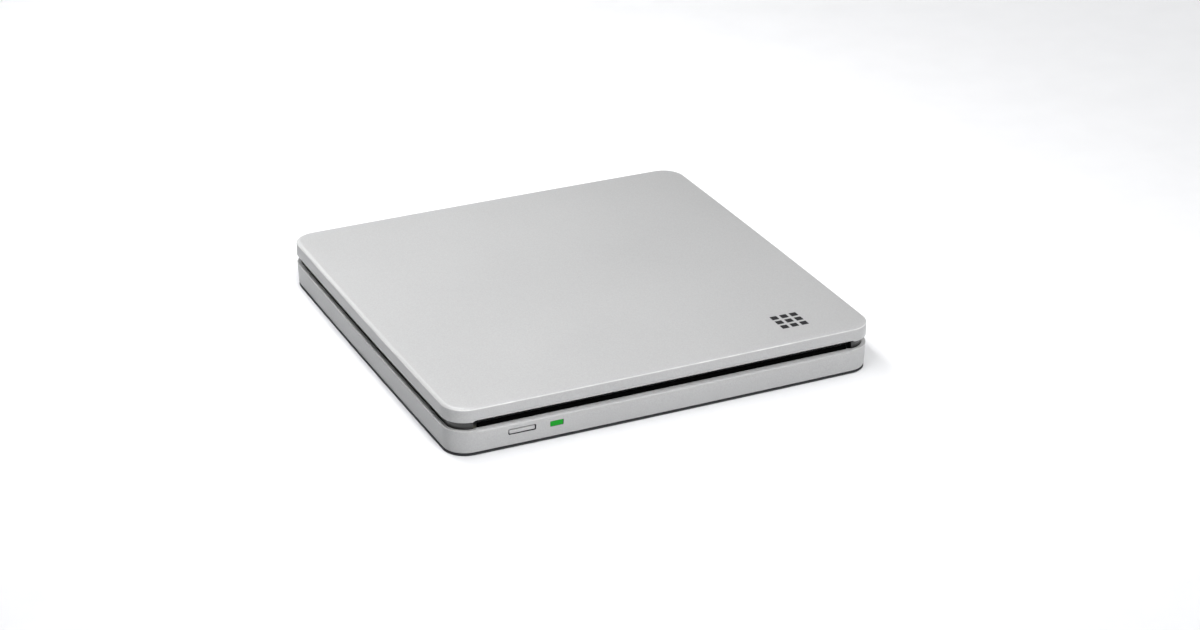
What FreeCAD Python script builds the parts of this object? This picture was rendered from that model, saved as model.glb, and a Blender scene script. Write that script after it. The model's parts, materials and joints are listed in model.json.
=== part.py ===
import FreeCAD, Part
import math
import os
import re

import Sketcher
from FreeCAD import Placement, Rotation, Vector

# A slim slot-loading optical drive. Origin at the middle of the footprint, on the surface it stands on.
# +X runs to the right along the front face, +Y to the back, +Z up. Millimetres and degrees.

sizes = {
    # case: outline, heights of the shells and thickness of their walls
    "case_width": 140.0,
    "case_depth": 139.0,
    "side_bow": 0.4,
    "corner_radius": 7.5,
    "case_top": 15.5,
    "skirt_bottom": 10.87,
    "rim_top": 8.2,
    "shell_bottom": 0.72,
    "shell_lean": 0.35,
    "shell_foot_round": 0.7,
    "wall": 1.35,
    "cover_plate": 1.2,
    "bevel_width": 1.0,
    "bevel_drop": 0.5,
    "bevel_blend": 1.6,
    "fit_gap": 0.05,
    "frame_wall": 1.2,
    "plate_bottom": 0.15,
    "plate_top": 1.3,
    "rim_inset": 0.35,
    # disc slot across the front
    "slot_width": 124.6,
    "slot_raise": 0.43,
    "slot_slant": 1.0,
    "lip_depth": 1.8,
    "lip_drop": 1.25,
    "lip_round_deep": 1.7,
    "lip_round_high": 1.0,
    "felt_high_at": 2.6,
    "felt_thick": 1.0,
    "felt_end_gap": 1.8,
    "felt_low_top": 9.3,
    "felt_high_bottom": 9.7,
    "felt_high_top": 12.6,
    # eject button, its switch and the light
    "button_x": -47.45,
    "button_mid": 5.3,
    "button_hole_wide": 8.7,
    "button_hole_high": 1.8,
    "button_gap": 0.26,
    "button_round": 0.45,
    "button_set_in": 0.38,
    "button_face_deep": 1.45,
    "button_flange_wide": 9.8,
    "button_flange_high": 2.4,
    "button_flange_deep": 0.5,
    "button_stem_wide": 3.0,
    "button_stem_high": 1.2,
    "switch_wide": 3.5,
    "switch_high": 2.4,
    "switch_deep": 1.6,
    "plunger_radius": 0.5,
    "plunger_out": 0.5,
    "plunger_long": 1.2,
    "light_x": -36.5,
    "light_mid": 5.12,
    "light_wide": 4.2,
    "light_high": 1.75,
    "light_set_in": 0.3,
    "light_long": 3.1,
    "board_front": 4.9,
    "front_board_wide": 22.0,
    "board_thick": 0.8,
    # fasteners and feet
    "post_at": 64.7,
    "post_radius": 1.8,
    "screw_radius": 0.8,
    "screw_hole": 0.82,
    "head_radius": 1.6,
    "head_high": 0.6,
    "head_sunk": 0.05,
    "drive_screw_x": 57.0,
    "drive_screw_y": 28.0,
    "foot_at": 54.0,
    "foot_radius": 5.0,
    "foot_high": 0.88,
    "label_long": 62.0,
    "label_wide": 30.0,
    "label_thick": 0.1,
    # drive body
    "drive_width": 128.0,
    "drive_depth": 125.0,
    "drive_bottom": 2.2,
    "drive_lid": 11.2,
    "drive_top": 11.7,
    "sheet_steel": 0.6,
    "chassis_lip": 7.4,
    "spindle_y": 1.5,
    # traverse, which carries the spindle and the pickup
    "traverse_left": -16.0,
    "traverse_right": 63.0,
    "traverse_half": 31.0,
    "traverse_low": 5.0,
    "traverse_thick": 0.8,
    "pivot_x": 58.0,
    "pivot_radius": 0.7,
    "running_gap": 0.06,
    # spindle
    "stator_radius": 10.4,
    "bell_radius": 12.0,
    "bell_wall": 0.7,
    "table_radius": 15.0,
    "table_low": 8.2,
    "table_high": 8.7,
    "hub_radius": 7.4,
    "hub_top": 10.2,
    "shaft_radius": 1.5,
    # pickup, its rods and its feed
    "pickup_left": 14.5,
    "pickup_long": 13.0,
    "pickup_half": 21.0,
    "pickup_low": 4.4,
    "pickup_top": 7.9,
    "lens_x": 22.6,
    "lens_radius": 2.1,
    "rod_at": 19.0,
    "rod_mid": 6.9,
    "rod_radius": 1.0,
    "feed_at": 26.0,
    "feed_mid": 6.2,
    "feed_radius": 1.0,
    "feed_motor_radius": 2.9,
    # loading gear and cam slider
    "gear_x": -30.0,
    "gear_y": -40.0,
    "wheel_teeth": 24,
    "wheel_module": 0.6,
    "pinion_teeth": 12,
    "pinion_module": 0.5,
    "worm_radius": 1.25,
    "worm_mid": 5.45,
    "rack_teeth": 11,
    "slider_right": -17.4,
    "slider_low": 3.0,
    "slider_step": 4.6,
    "slider_top": 7.6,
    "cam_pin_radius": 0.8,
    "cam_travel": 12.0,
    "cam_drop": 2.15,
    # disc levers, hung under the drive's lid
    "lever_low": 10.42,
    "lever_thick": 0.5,
    "lever_wide": 5.0,
    "eject_pivot_x": 50.0,
    "eject_pivot_y": 50.0,
    "eject_long": 76.5,
    "eject_angle": 173.5,
    "load_pivot_x": 59.0,
    "load_pivot_y": 37.5,
    "load_long": 77.4,
    "load_angle": 261.0,
    "roller_radius": 1.6,
    # electronics and the socket at the back
    "socket_x": -45.0,
    "socket_wide": 7.6,
    "socket_high": 2.7,
    "socket_deep": 5.6,
    "main_board_low": 2.95,
}

doc = FreeCAD.newDocument("slot_loading_drive")
sheet = doc.addObject("Spreadsheet::Sheet", "dims")
for row, (alias, number) in enumerate(sizes.items(), 1):
    sheet.set(f"A{row}", alias)
    sheet.set(f"B{row}", str(number))
    sheet.setAlias(f"B{row}", alias)
doc.recompute()

nodes = []
mathWords = {"sqrt"}
paths = {"x": "Placement.Base.x", "y": "Placement.Base.y", "z": "Placement.Base.z"}
lying = {
    "x": Rotation(Vector(0, 1, 0), 90),
    "y": Rotation(Vector(1, 0, 0), -90),
    "z": Rotation(),
}


def inSheet(text):
    # writes "wall + 1" as "dims.wall + 1"
    def prefixed(word):
        return word.group() if word.group() in mathWords else "dims." + word.group()

    return re.sub(r"[a-z][a-z_]+", prefixed, str(text))


def bind(thing, **values):
    for name, text in values.items():
        thing.setExpression(paths.get(name, name), inSheet(text))
    return thing


def place(thing, at):
    return bind(thing, x=at[0], y=at[1], z=at[2])


def block(label, at, size):
    # a box centred on at in X and Y, standing on at in Z
    box = doc.addObject("Part::Box", label)
    bind(box, Length=size[0], Width=size[1], Height=size[2])
    return place(box, (f"({at[0]}) - ({size[0]}) / 2", f"({at[1]}) - ({size[1]}) / 2", at[2]))


def rod(label, at, radius, length, axis="z"):
    # a cylinder that starts at at and runs along +axis
    cylinder = doc.addObject("Part::Cylinder", label)
    cylinder.Placement = Placement(Vector(), lying[axis])
    bind(cylinder, Radius=radius, Height=length)
    return place(cylinder, at)


def fused(label, *pieces):
    union = doc.addObject("Part::MultiFuse", label)
    union.Shapes = list(pieces)
    return union


def without(label, base, *tools):
    rest = doc.addObject("Part::Cut", label)
    rest.Base = base
    rest.Tool = tools[0] if len(tools) == 1 else fused(label + "_cutters", *tools)
    return rest


def grouped(label, pieces):
    group = doc.addObject("Part::Compound", label)
    group.Links = list(pieces)
    return group


def node(piece):
    nodes.append(piece)
    return piece


def edgesWhere(feature, test):
    return [f"Edge{i}" for i, edge in enumerate(feature.Shape.Edges, 1) if test(edge)]


def isUpright(edge):
    return abs(edge.Vertexes[0].Z - edge.Vertexes[-1].Z) > 0.1


def isAtHeight(height):
    return lambda edge: all(abs(v.Z - height) < 1e-4 for v in edge.Vertexes)


def rounding(body, base, edges, radius):
    fillet = body.newObject("PartDesign::Fillet", body.Name + "_round")
    fillet.Base = (base, edges)
    bind(fillet, Radius=radius)
    doc.recompute()
    return fillet


def originOf(body, role):
    return next(feature for feature in body.Origin.OriginFeatures if feature.Role == role)


def caseOutline(body, name, inset, height):
    # the case's outline drawn in by inset: four shallow outward arcs that meet at the corners
    bow = sizes["side_bow"]
    drawnIn = sum(sizes[word] * sign for word, sign in inset)
    x = sizes["case_width"] / 2 - bow - drawnIn
    y = sizes["case_depth"] / 2 - bow - drawnIn
    corners = [Vector(-x, -y, 0), Vector(x, -y, 0), Vector(x, y, 0), Vector(-x, y, 0)]
    middles = [Vector(0, -y - bow, 0), Vector(x + bow, 0, 0), Vector(0, y + bow, 0), Vector(-x - bow, 0, 0)]
    sketch = body.newObject("Sketcher::SketchObject", name)
    sketch.AttachmentSupport = [(originOf(body, "XY_Plane"), "")]
    sketch.MapMode = "FlatFace"
    bind(sketch, **{"AttachmentOffset.Base.z": height})
    for i in range(4):
        sketch.addGeometry(Part.Arc(corners[i], middles[i], corners[(i + 1) % 4]), False)
    for i in range(4):
        sketch.addConstraint(Sketcher.Constraint("Coincident", i, 2, (i + 1) % 4, 1))
    sketch.addConstraint(Sketcher.Constraint("Symmetric", 0, 1, 2, 1, -1, 1))
    sketch.addConstraint(Sketcher.Constraint("Symmetric", 1, 1, 3, 1, -1, 1))
    sketch.addConstraint(Sketcher.Constraint("Horizontal", 0, 1, 1, 1))
    sketch.addConstraint(Sketcher.Constraint("Vertical", 1, 1, 2, 1))
    insetText = "".join(f" - {2 * sign} * {word}" for word, sign in inset)
    chords = {
        "width": (f"(case_width - 2 * side_bow{insetText})", 2 * x),
        "depth": (f"(case_depth - 2 * side_bow{insetText})", 2 * y),
    }
    for axis, (word, points) in zip("XY", (("width", (0, 1, 1, 1)), ("depth", (1, 1, 2, 1)))):
        index = sketch.addConstraint(Sketcher.Constraint("Distance" + axis, *points, chords[word][1]))
        sketch.renameConstraint(index, word)
        bind(sketch, **{"Constraints." + word: chords[word][0]})
    for i in range(4):
        text, length = chords["depth" if i % 2 else "width"]
        radius = (length * length / 4 + bow * bow) / (2 * bow)
        index = sketch.addConstraint(Sketcher.Constraint("Radius", i, radius))
        sketch.renameConstraint(index, f"bow_{'abcd'[i]}")
        radiusText = f"({text} * {text} / 4 + side_bow * side_bow) / (2 * side_bow)"
        bind(sketch, **{f"Constraints.bow_{'abcd'[i]}": radiusText})
    return sketch


def caseBlock(label, inset, low, high, radius):
    # a solid of the case's outline between two heights, with round corners
    body = doc.addObject("PartDesign::Body", label)
    sketch = caseOutline(body, label + "_outline", inset, low)
    pad = body.newObject("PartDesign::Pad", label + "_pad")
    pad.Profile = sketch
    bind(pad, Length=f"({high}) - ({low})")
    doc.recompute()
    rounding(body, pad, edgesWhere(pad, isUpright), radius)
    return body


def softBar(label, at, size, radius, axis="y"):
    # a box whose four edges along the axis are rounded
    body = doc.addObject("PartDesign::Body", label)
    bar = body.newObject("PartDesign::AdditiveBox", label + "_box")
    bind(bar, Length=size[0], Width=size[1], Height=size[2])
    place(bar, (f"({at[0]}) - ({size[0]}) / 2", f"({at[1]}) - ({size[1]}) / 2", at[2]))
    doc.recompute()
    column = "xyz".index(axis)

    def along(edge):
        step = edge.Vertexes[1].Point - edge.Vertexes[0].Point
        return abs(step[column]) > 0.99 * step.Length

    rounding(body, bar, edgesWhere(bar, along), radius)
    return body


def screw(label, x, y, z, length, down=False):
    # a cross-recessed screw whose head starts at z; its shank points up, or down when it enters from above
    head = rod(label + "_head", (x, y, z), "head_radius", "head_high")
    shankStart = f"({z}) - ({length})" if down else f"({z}) + head_high"
    shank = rod(label + "_shank", (x, y, shankStart), "screw_radius", length)
    slotStart = f"({z}) + head_high - 0.3" if down else f"({z}) - 0.1"
    slots = [
        block(f"{label}_slot_{way}", (x, y, slotStart), size)
        for way, size in (("a", ("1.8", "0.4", "0.4")), ("b", ("0.4", "1.8", "0.4")))
    ]
    return without(label, fused(label + "_solid", head, shank), *slots)


def corners(x, y):
    return [(f"({sx}) * ({x})", f"({sy}) * ({y})") for sx in (-1, 1) for sy in (-1, 1)]


front = "(case_depth / 2)"


def makeTopCover():
    outer = doc.addObject("PartDesign::Body", "cover_outer")
    sketch = caseOutline(outer, "cover_outline", [], "skirt_bottom")
    pad = outer.newObject("PartDesign::Pad", "cover_pad")
    pad.Profile = sketch
    bind(pad, Length="case_top - skirt_bottom")
    doc.recompute()
    rounded = rounding(outer, pad, edgesWhere(pad, isUpright), "corner_radius")
    bevel = outer.newObject("PartDesign::Chamfer", "cover_bevel")
    bevel.Base = (rounded, edgesWhere(rounded, isAtHeight(sizes["case_top"])))
    bevel.ChamferType = "Two distances"
    bind(bevel, Size="bevel_drop", Size2="bevel_width")
    doc.recompute()
    rounding(outer, bevel, edgesWhere(bevel, isAtHeight(sizes["case_top"])), "bevel_blend")
    cavity = caseBlock(
        "cover_cavity", [("wall", 1)], "skirt_bottom - 1", "case_top - cover_plate", "corner_radius - wall"
    )
    raised = doc.addObject("Part::Wedge", "slot_raise_cut")
    raised.Placement = Placement(Vector(), Rotation(Vector(1, 0, 0), 90))
    bind(
        raised,
        Xmin="-slot_width / 2 - slot_slant", Xmax="slot_width / 2 + slot_slant",
        X2min="-slot_width / 2", X2max="slot_width / 2",
        Ymin="-slot_raise", Ymax="slot_raise",
        Zmin="0", Zmax="2 * wall + 1", Z2min="0", Z2max="2 * wall + 1",
    )
    place(raised, ("0", f"wall + 1 + wall - {front}", "skirt_bottom"))
    lugs = snapLugs("cover_lug", "skirt_bottom + 1.2")
    node(fused("top_cover", without("cover_shell", outer, cavity, raised), *lugs))


def snapLugs(label, z, grow="0"):
    # small catches on the inside of a shell's side walls, which click into windows in the inner frame
    reach = f"(0.9 + {grow})"
    return [
        block(
            f"{label}_{i}",
            (f"{side} * (case_width / 2 - wall - 0.45)", f"{along} * case_depth / 4", f"({z}) - {grow}"),
            (reach, f"6 + 2 * {grow}", f"0.9 + 2 * {grow}"),
        )
        for i, (side, along) in enumerate(((-1, -1), (-1, 1), (1, -1), (1, 1)))
    ]


def makeLowerShell():
    outer = doc.addObject("PartDesign::Body", "shell_outer")
    sketch = caseOutline(outer, "shell_outline", [], "shell_bottom")
    pad = outer.newObject("PartDesign::Pad", "shell_pad")
    pad.Profile = sketch
    bind(pad, Length="rim_top - shell_bottom")
    doc.recompute()
    rounded = rounding(outer, pad, edgesWhere(pad, isUpright), "corner_radius")
    lean = outer.newObject("PartDesign::Chamfer", "shell_lean_in")
    lean.Base = (rounded, edgesWhere(rounded, isAtHeight(sizes["shell_bottom"])))
    lean.ChamferType = "Two distances"
    bind(lean, Size="rim_top - shell_bottom - 0.1", Size2="shell_lean")
    doc.recompute()
    rounding(outer, lean, edgesWhere(lean, isAtHeight(sizes["shell_bottom"])), "shell_foot_round")
    cavity = caseBlock("shell_cavity", [("wall", 1)], "-1", "rim_top + 1", "corner_radius - wall")
    ring = without("shell_ring", outer, cavity)
    lip = block(
        "slot_lip",
        ("0", f"(lip_depth + 0.6) / 2 - {front}", "rim_top - lip_drop"),
        ("slot_width - 0.4", "lip_depth - 0.6", "lip_drop"),
    )
    corner = block(
        "lip_corner",
        ("0", f"lip_round_deep / 2 - 0.5 - {front}", "rim_top - lip_round_high"),
        ("slot_width", "lip_round_deep + 1", "lip_round_high + 1"),
    )
    oval = doc.addObject("Part::Ellipse", "lip_oval")
    oval.Placement = Placement(Vector(), Rotation(Vector(1, 1, 1), 120))
    bind(oval, MajorRadius="lip_round_deep", MinorRadius="lip_round_high")
    bind(oval, x="-slot_width / 2 - 1", y=f"lip_round_deep - {front}", z="rim_top - lip_round_high")
    roll = doc.addObject("Part::Extrusion", "lip_roll")
    roll.Base = oval
    roll.DirMode = "Custom"
    roll.Dir = Vector(1, 0, 0)
    roll.Solid = True
    roll.FaceMakerClass = "Part::FaceMakerBullseye"
    bind(roll, LengthFwd="slot_width + 2")
    lipCut = without("lip_cut", corner, roll)
    buttonHole = softBar(
        "button_hole",
        ("button_x", f"-{front}", "button_mid - button_hole_high / 2"),
        ("button_hole_wide", "4 * wall", "button_hole_high"),
        "button_round",
    )
    lightHole = softBar(
        "light_hole",
        ("light_x", f"-{front}", "light_mid - light_high / 2"),
        ("light_wide", "4 * wall", "light_high"),
        "button_round / 2",
    )
    socketHole = softBar(
        "socket_hole",
        ("socket_x", front, "main_board_low + board_thick + socket_high / 2 - 1.95"),
        ("socket_wide + 1.6", "4 * wall", "3.9"),
        "1.2",
    )
    lugs = snapLugs("shell_lug", "3.4")
    body = fused("shell_with_lip", ring, lip, *lugs)
    node(without("lower_shell", body, lipCut, buttonHole, lightHole, socketHole))


def makeInnerFrame():
    inset = [("wall", 1), ("fit_gap", 1)]
    outer = caseBlock(
        "frame_outer", inset, "plate_top", "case_top - cover_plate - fit_gap",
        "corner_radius - wall - fit_gap",
    )
    cavity = caseBlock(
        "frame_cavity", inset + [("frame_wall", 1)], "0", "case_top + 1",
        "corner_radius - wall - fit_gap - frame_wall",
    )
    ring = without("frame_ring", outer, cavity)
    postHigh = "case_top - cover_plate - fit_gap - plate_top"
    posts = [
        rod(f"frame_post_{i}", (x, y, "plate_top"), "post_radius", postHigh)
        for i, (x, y) in enumerate(corners("post_at", "post_at"))
    ]
    bores = [
        rod(f"post_bore_{i}", (x, y, "plate_top - 1"), "screw_hole", "8")
        for i, (x, y) in enumerate(corners("post_at", "post_at"))
    ]
    mouth = softBar(
        "slot_mouth",
        ("0", f"-{front}", "rim_top - lip_drop - fit_gap"),
        ("slot_width - 0.2", "8", "skirt_bottom + slot_raise - rim_top + lip_drop + fit_gap"),
        "0.6",
    )
    buttonWindow = block(
        "button_window",
        ("button_x", f"-{front}", "button_mid - button_flange_high / 2 - 0.15"),
        ("button_flange_wide + 0.6", "8", "button_flange_high + 0.3"),
    )
    lightWindow = block(
        "light_passage",
        ("light_x", f"-{front}", "light_mid - light_high / 2"),
        ("light_wide", "8", "light_high"),
    )
    socketWindow = block(
        "socket_window",
        ("socket_x", front, "main_board_low - 0.2"),
        ("socket_wide + 7", "8", "board_thick + socket_high + 0.6"),
    )
    catches = snapLugs("shell_catch", "3.4", "0.2") + snapLugs("cover_catch", "skirt_bottom + 1.2", "0.2")
    frame = fused("frame_with_posts", ring, *posts)
    node(without("inner_frame", frame, mouth, buttonWindow, lightWindow, socketWindow, *bores, *catches))


def makeBasePlate():
    plate = caseBlock(
        "plate_outer", [("wall", 1), ("fit_gap", 1)], "plate_bottom", "plate_top",
        "corner_radius - wall - fit_gap",
    )
    # a rim under the shell's foot, which shows as a thin dark band
    rim = caseBlock(
        "plate_rim", [("rim_inset", 1)], "plate_bottom", "shell_bottom - fit_gap", "corner_radius - rim_inset"
    )
    bosses = [
        rod(f"plate_boss_{i}", (x, y, "plate_top - 0.1"), "2.5", "drive_bottom - plate_top + 0.1")
        for i, (x, y) in enumerate(corners("drive_screw_x", "drive_screw_y"))
    ]
    cuts = []
    sinkHigh = "plate_bottom + head_sunk + head_high"
    places = corners("post_at", "post_at") + corners("drive_screw_x", "drive_screw_y")
    for i, (x, y) in enumerate(places):
        cuts.append(rod(f"plate_sink_{i}", (x, y, "0"), "head_radius + 0.15", sinkHigh))
        cuts.append(rod(f"plate_hole_{i}", (x, y, "0"), "screw_radius + 0.1", "3"))
    for i, (x, y) in enumerate(corners("foot_at", "foot_at")):
        cuts.append(rod(f"foot_seat_{i}", (x, y, "0"), "foot_radius + 0.1", "foot_high"))
    seatSize = ("label_long + 0.4", "label_wide + 0.4", "plate_bottom + label_thick")
    cuts.append(block("label_seat", ("0", "0", "0"), seatSize))
    node(without("base_plate", fused("plate_with_bosses", plate, rim, *bosses), *cuts))
    node(block("blank_label", ("0", "0", "plate_bottom"), ("label_long", "label_wide", "label_thick")))
    feet = []
    for i, (x, y) in enumerate(corners("foot_at", "foot_at")):
        body = doc.addObject("PartDesign::Body", f"foot_{i}")
        puck = body.newObject("PartDesign::AdditiveCylinder", f"foot_puck_{i}")
        bind(puck, Radius="foot_radius", Height="foot_high")
        place(puck, (x, y, "0"))
        doc.recompute()
        rounding(body, puck, edgesWhere(puck, isFootRim), "0.2")
        feet.append(body)
    node(grouped("rubber_feet", feet))
    caseScrews = [
        screw(f"case_screw_{i}", x, y, "plate_bottom + head_sunk", "5")
        for i, (x, y) in enumerate(corners("post_at", "post_at"))
    ]
    node(grouped("case_screws", caseScrews))
    driveScrews = [
        screw(f"drive_screw_{i}", x, y, "plate_bottom + head_sunk", "1.8")
        for i, (x, y) in enumerate(corners("drive_screw_x", "drive_screw_y"))
    ]
    node(grouped("drive_screws", driveScrews))


def isFootRim(edge):
    return edge.Curve.TypeId == "Part::GeomCircle" and edge.CenterOfMass.z < 0.01


def makeSlotFelts():
    # the lower felt is glued to the back of the shell's lip, the upper one stands behind the bowed frame
    width = "slot_width - 2 * felt_end_gap"
    behindLip = f"lip_depth + felt_thick / 2 - {front}"
    behindFrame = f"felt_high_at + felt_thick / 2 + side_bow - {front}"
    highSize = (width, "felt_thick", "felt_high_top - felt_high_bottom")
    lowSize = (width, "felt_thick", "felt_low_top - rim_top + lip_drop")
    node(block("upper_wiper", ("0", behindFrame, "felt_high_bottom"), highSize))
    node(block("lower_wiper", ("0", behindLip, "rim_top - lip_drop"), lowSize))


def makeFrontControls():
    boardFace = f"(board_front - {front})"
    wide = "button_hole_wide - 2 * button_gap"
    high = "button_hole_high - 2 * button_gap"
    cap = softBar(
        "button_cap",
        ("button_x", f"button_set_in + button_face_deep / 2 - {front}", f"button_mid - ({high}) / 2"),
        (wide, "button_face_deep", high),
        "button_round - 0.15",
    )
    flangeStart = f"(button_set_in + button_face_deep - {front})"
    flange = block(
        "button_flange",
        ("button_x", f"{flangeStart} + button_flange_deep / 2", "button_mid - button_flange_high / 2"),
        ("button_flange_wide", "button_flange_deep", "button_flange_high"),
    )
    stemLong = f"({boardFace} - switch_deep - plunger_out - 0.03 - {flangeStart} - button_flange_deep)"
    stemMid = f"{flangeStart} + button_flange_deep + {stemLong} / 2"
    stem = block(
        "button_stem",
        ("button_x", stemMid, "button_mid - button_stem_high / 2"),
        ("button_stem_wide", stemLong, "button_stem_high"),
    )
    node(fused("eject_button", cap, flange, stem))
    node(
        softBar(
            "light_window",
            ("light_x", f"light_set_in + light_long / 2 - {front}", "light_mid - light_high / 2 + fit_gap"),
            ("light_wide - 2 * fit_gap", "light_long", "light_high - 2 * fit_gap"),
            "button_round / 2",
        )
    )
    boardX = "(button_x + light_x) / 2 - 1"
    node(
        block(
            "front_board",
            (boardX, f"{boardFace} + board_thick / 2", "2.6"),
            ("front_board_wide", "board_thick", "4.2"),
        )
    )
    housing = block(
        "switch_housing",
        ("button_x", f"{boardFace} - switch_deep / 2", "button_mid - switch_high / 2"),
        ("switch_wide", "switch_deep", "switch_high"),
    )
    bore = rod(
        "switch_bore",
        ("button_x", f"{boardFace} - switch_deep - 1", "button_mid"),
        "plunger_radius + running_gap", "2.4", "y",
    )
    node(without("switch_body", housing, bore))
    node(
        rod(
            "switch_plunger",
            ("button_x", f"{boardFace} - switch_deep - plunger_out", "button_mid"),
            "plunger_radius", "plunger_long", "y",
        )
    )
    node(block("indicator_led", ("light_x", f"{boardFace} - 0.55", "light_mid - 0.6"), ("1.6", "1.1", "1.2")))
    sideX = "(drive_width / 2 + 1.7)"
    runY = "(drive_depth / 2 + 0.28)"
    boardLeft = f"({boardX} - front_board_wide / 2)"
    thick, wide, low = "0.15", "3", "3.2"
    frontLong = f"{sideX} + {boardLeft}"
    rearLong = f"{sideX} + socket_x - 7"
    runs = [
        block("cable_side", (f"-{sideX}", "0", low), (thick, f"2 * {runY} + {thick}", wide)),
        block("cable_front", (f"({boardLeft} - {sideX}) / 2", f"-{runY}", low), (frontLong, thick, wide)),
        block("cable_rear", (f"(socket_x - 7 - {sideX}) / 2", runY, low), (rearLong, thick, wide)),
    ]
    node(fused("front_cable", *runs))


def makeDriveBody():
    depth = "drive_depth"
    outerSize = ("drive_width", depth, "drive_lid - drive_bottom")
    outer = block("chassis_block", ("0", "0", "drive_bottom"), outerSize)
    inside = block(
        "chassis_inside",
        ("0", "0", "drive_bottom + sheet_steel"),
        ("drive_width - 2 * sheet_steel", "drive_depth - 2 * sheet_steel", "20"),
    )
    mouthSize = ("drive_width - 2 * sheet_steel", "4", "20")
    mouth = block("chassis_mouth", ("0", "-drive_depth / 2", "chassis_lip"), mouthSize)
    notchAt = ("socket_x", "drive_depth / 2", "drive_bottom + sheet_steel")
    notch = block("chassis_notch", notchAt, ("16", "4", "5"))
    pinRoom = block("cam_pin_room", ("traverse_left - 2.2", "spindle_y", "drive_bottom - 1"), ("6", "3", "3"))
    holes = [
        rod(f"chassis_hole_{i}", (x, y, "0"), "screw_hole", "4")
        for i, (x, y) in enumerate(corners("drive_screw_x", "drive_screw_y"))
    ]
    tray = without("chassis_tray", outer, inside, mouth, notch, pinRoom, *holes)
    tabX, tabY = "drive_width / 2 - 3", "drive_depth / 2 - 3"
    tabs = []
    tabHoles = []
    for i, (x, y) in enumerate(corners(tabX, tabY)):
        tabs.append(block(f"chassis_tab_{i}", (x, y, "drive_lid - 0.6"), ("5", "5", "0.6")))
        tabHoles.append(rod(f"tab_hole_{i}", (x, y, "drive_lid - 2"), "screw_hole", "4"))
    mounts = [
        block(
            f"traverse_mount_{i}",
            ("pivot_x", f"spindle_y + ({side}) * (traverse_half + 2)", "drive_bottom + 0.5"),
            ("3", "2", "4.4"),
        )
        for i, side in enumerate((-1, 1))
    ]
    mountBore = rod(
        "mount_bore",
        ("pivot_x", "spindle_y - traverse_half - 5", "traverse_low + traverse_thick / 2"),
        "pivot_radius + running_gap", "2 * traverse_half + 10", "y",
    )
    node(without("drive_chassis", fused("chassis_solid", tray, *tabs, *mounts), mountBore, *tabHoles))
    lid = block("lid_sheet", ("0", "0", "drive_lid"), ("drive_width", depth, "drive_top - drive_lid"))
    ridge = rod("lid_ridge", ("0", "spindle_y", "drive_top - 0.1"), "26", "0.5")
    dish = rod("lid_dish", ("0", "spindle_y", "drive_top - 0.2"), "24", "2")
    lidHoles = [
        rod(f"lid_hole_{i}", (x, y, "drive_lid - 1"), "screw_radius + 0.1", "3")
        for i, (x, y) in enumerate(corners(tabX, tabY))
    ]
    node(without("drive_cover", fused("lid_solid", lid, ridge), dish, *lidHoles))
    coverScrews = [
        screw(f"cover_screw_{i}", x, y, "drive_top", "1", True)
        for i, (x, y) in enumerate(corners(tabX, tabY))
    ]
    node(grouped("cover_screws", coverScrews))
    pads = [
        block(f"foam_pad_{i}", (x, y, "drive_top"), ("22", "12", "case_top - cover_plate - drive_top"))
        for i, (x, y) in enumerate(corners("42", "44"))
    ]
    node(grouped("foam_pads", pads))


def makeElectronics():
    boardY = "(drive_depth / 2 - sheet_steel)"
    sheetAt = ("-34", f"{boardY} - 12", "drive_bottom + sheet_steel")
    node(block("insulating_sheet", sheetAt, ("54", "23.6", "0.1")))
    main = block("board_main", ("-34", f"{boardY} - 12.2", "main_board_low"), ("52", "23.4", "board_thick"))
    tailAt = ("socket_x", f"{boardY} + 1.4", "main_board_low")
    tail = block("board_tail", tailAt, ("14", "4.6", "board_thick"))
    node(fused("main_board", main, tail))
    top = "main_board_low + board_thick"
    chips = {
        "controller_chip": (("-24", f"{boardY} - 10", top), ("12", "12", "1.2")),
        "bridge_chip": (("-45", f"{boardY} - 7", top), ("7", "7", "0.9")),
        "driver_chip": (("-40", f"{boardY} - 18", top), ("9", "6", "1.4")),
        "memory_chip": (("-53", f"{boardY} - 14", top), ("5", "6", "0.8")),
    }
    node(grouped("board_chips", [block(label, *form) for label, form in chips.items()]))
    plugs = {
        "pickup_plug": (("-14", f"{boardY} - 18.5", top), ("10", "4", "1.5")),
        "motor_plug": (("-26", f"{boardY} - 21", top), ("8", "3.4", "1.5")),
    }
    node(grouped("board_connectors", [block(label, *form) for label, form in plugs.items()]))
    mid = f"({front} - 0.7 - socket_deep / 2)"

    def socketForm(label, margin, start, deep):
        body = doc.addObject("PartDesign::Body", label)
        bar = body.newObject("PartDesign::AdditiveBox", label + "_box")
        bind(bar, Length=f"socket_wide - 2 * {margin}", Width=deep, Height=f"socket_high - 2 * {margin}")
        place(bar, (f"socket_x - socket_wide / 2 + {margin}", start, f"{top} + {margin}"))
        doc.recompute()
        chamfer = body.newObject("PartDesign::Chamfer", label + "_bevel")
        chamfer.Base = (bar, edgesWhere(bar, isLowerSideEdge))
        bind(chamfer, Size=f"0.9 - {margin} / 3")
        doc.recompute()
        return body

    shell = socketForm("socket_shell", "0", f"{mid} - socket_deep / 2", "socket_deep")
    hollow = socketForm("socket_hollow", "0.3", f"{mid} - socket_deep / 2 + 1", "socket_deep")
    tongueAt = ("socket_x", f"{mid} + 0.3", f"{top} + socket_high - 1.35")
    tongue = block("socket_tongue", tongueAt, ("4.4", "socket_deep - 1.4", "0.6"))
    node(without("usb_socket", shell, hollow))
    node(tongue)
    node(block("disc_switches", ("-56", "-20", "drive_bottom + sheet_steel"), ("4", "6", "3.5")))


def isLowerSideEdge(edge):
    step = edge.Vertexes[1].Point - edge.Vertexes[0].Point
    lowest = sizes["main_board_low"] + sizes["board_thick"] + 0.5
    return abs(step.y) > 0.99 * step.Length and edge.CenterOfMass.z < lowest


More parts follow.
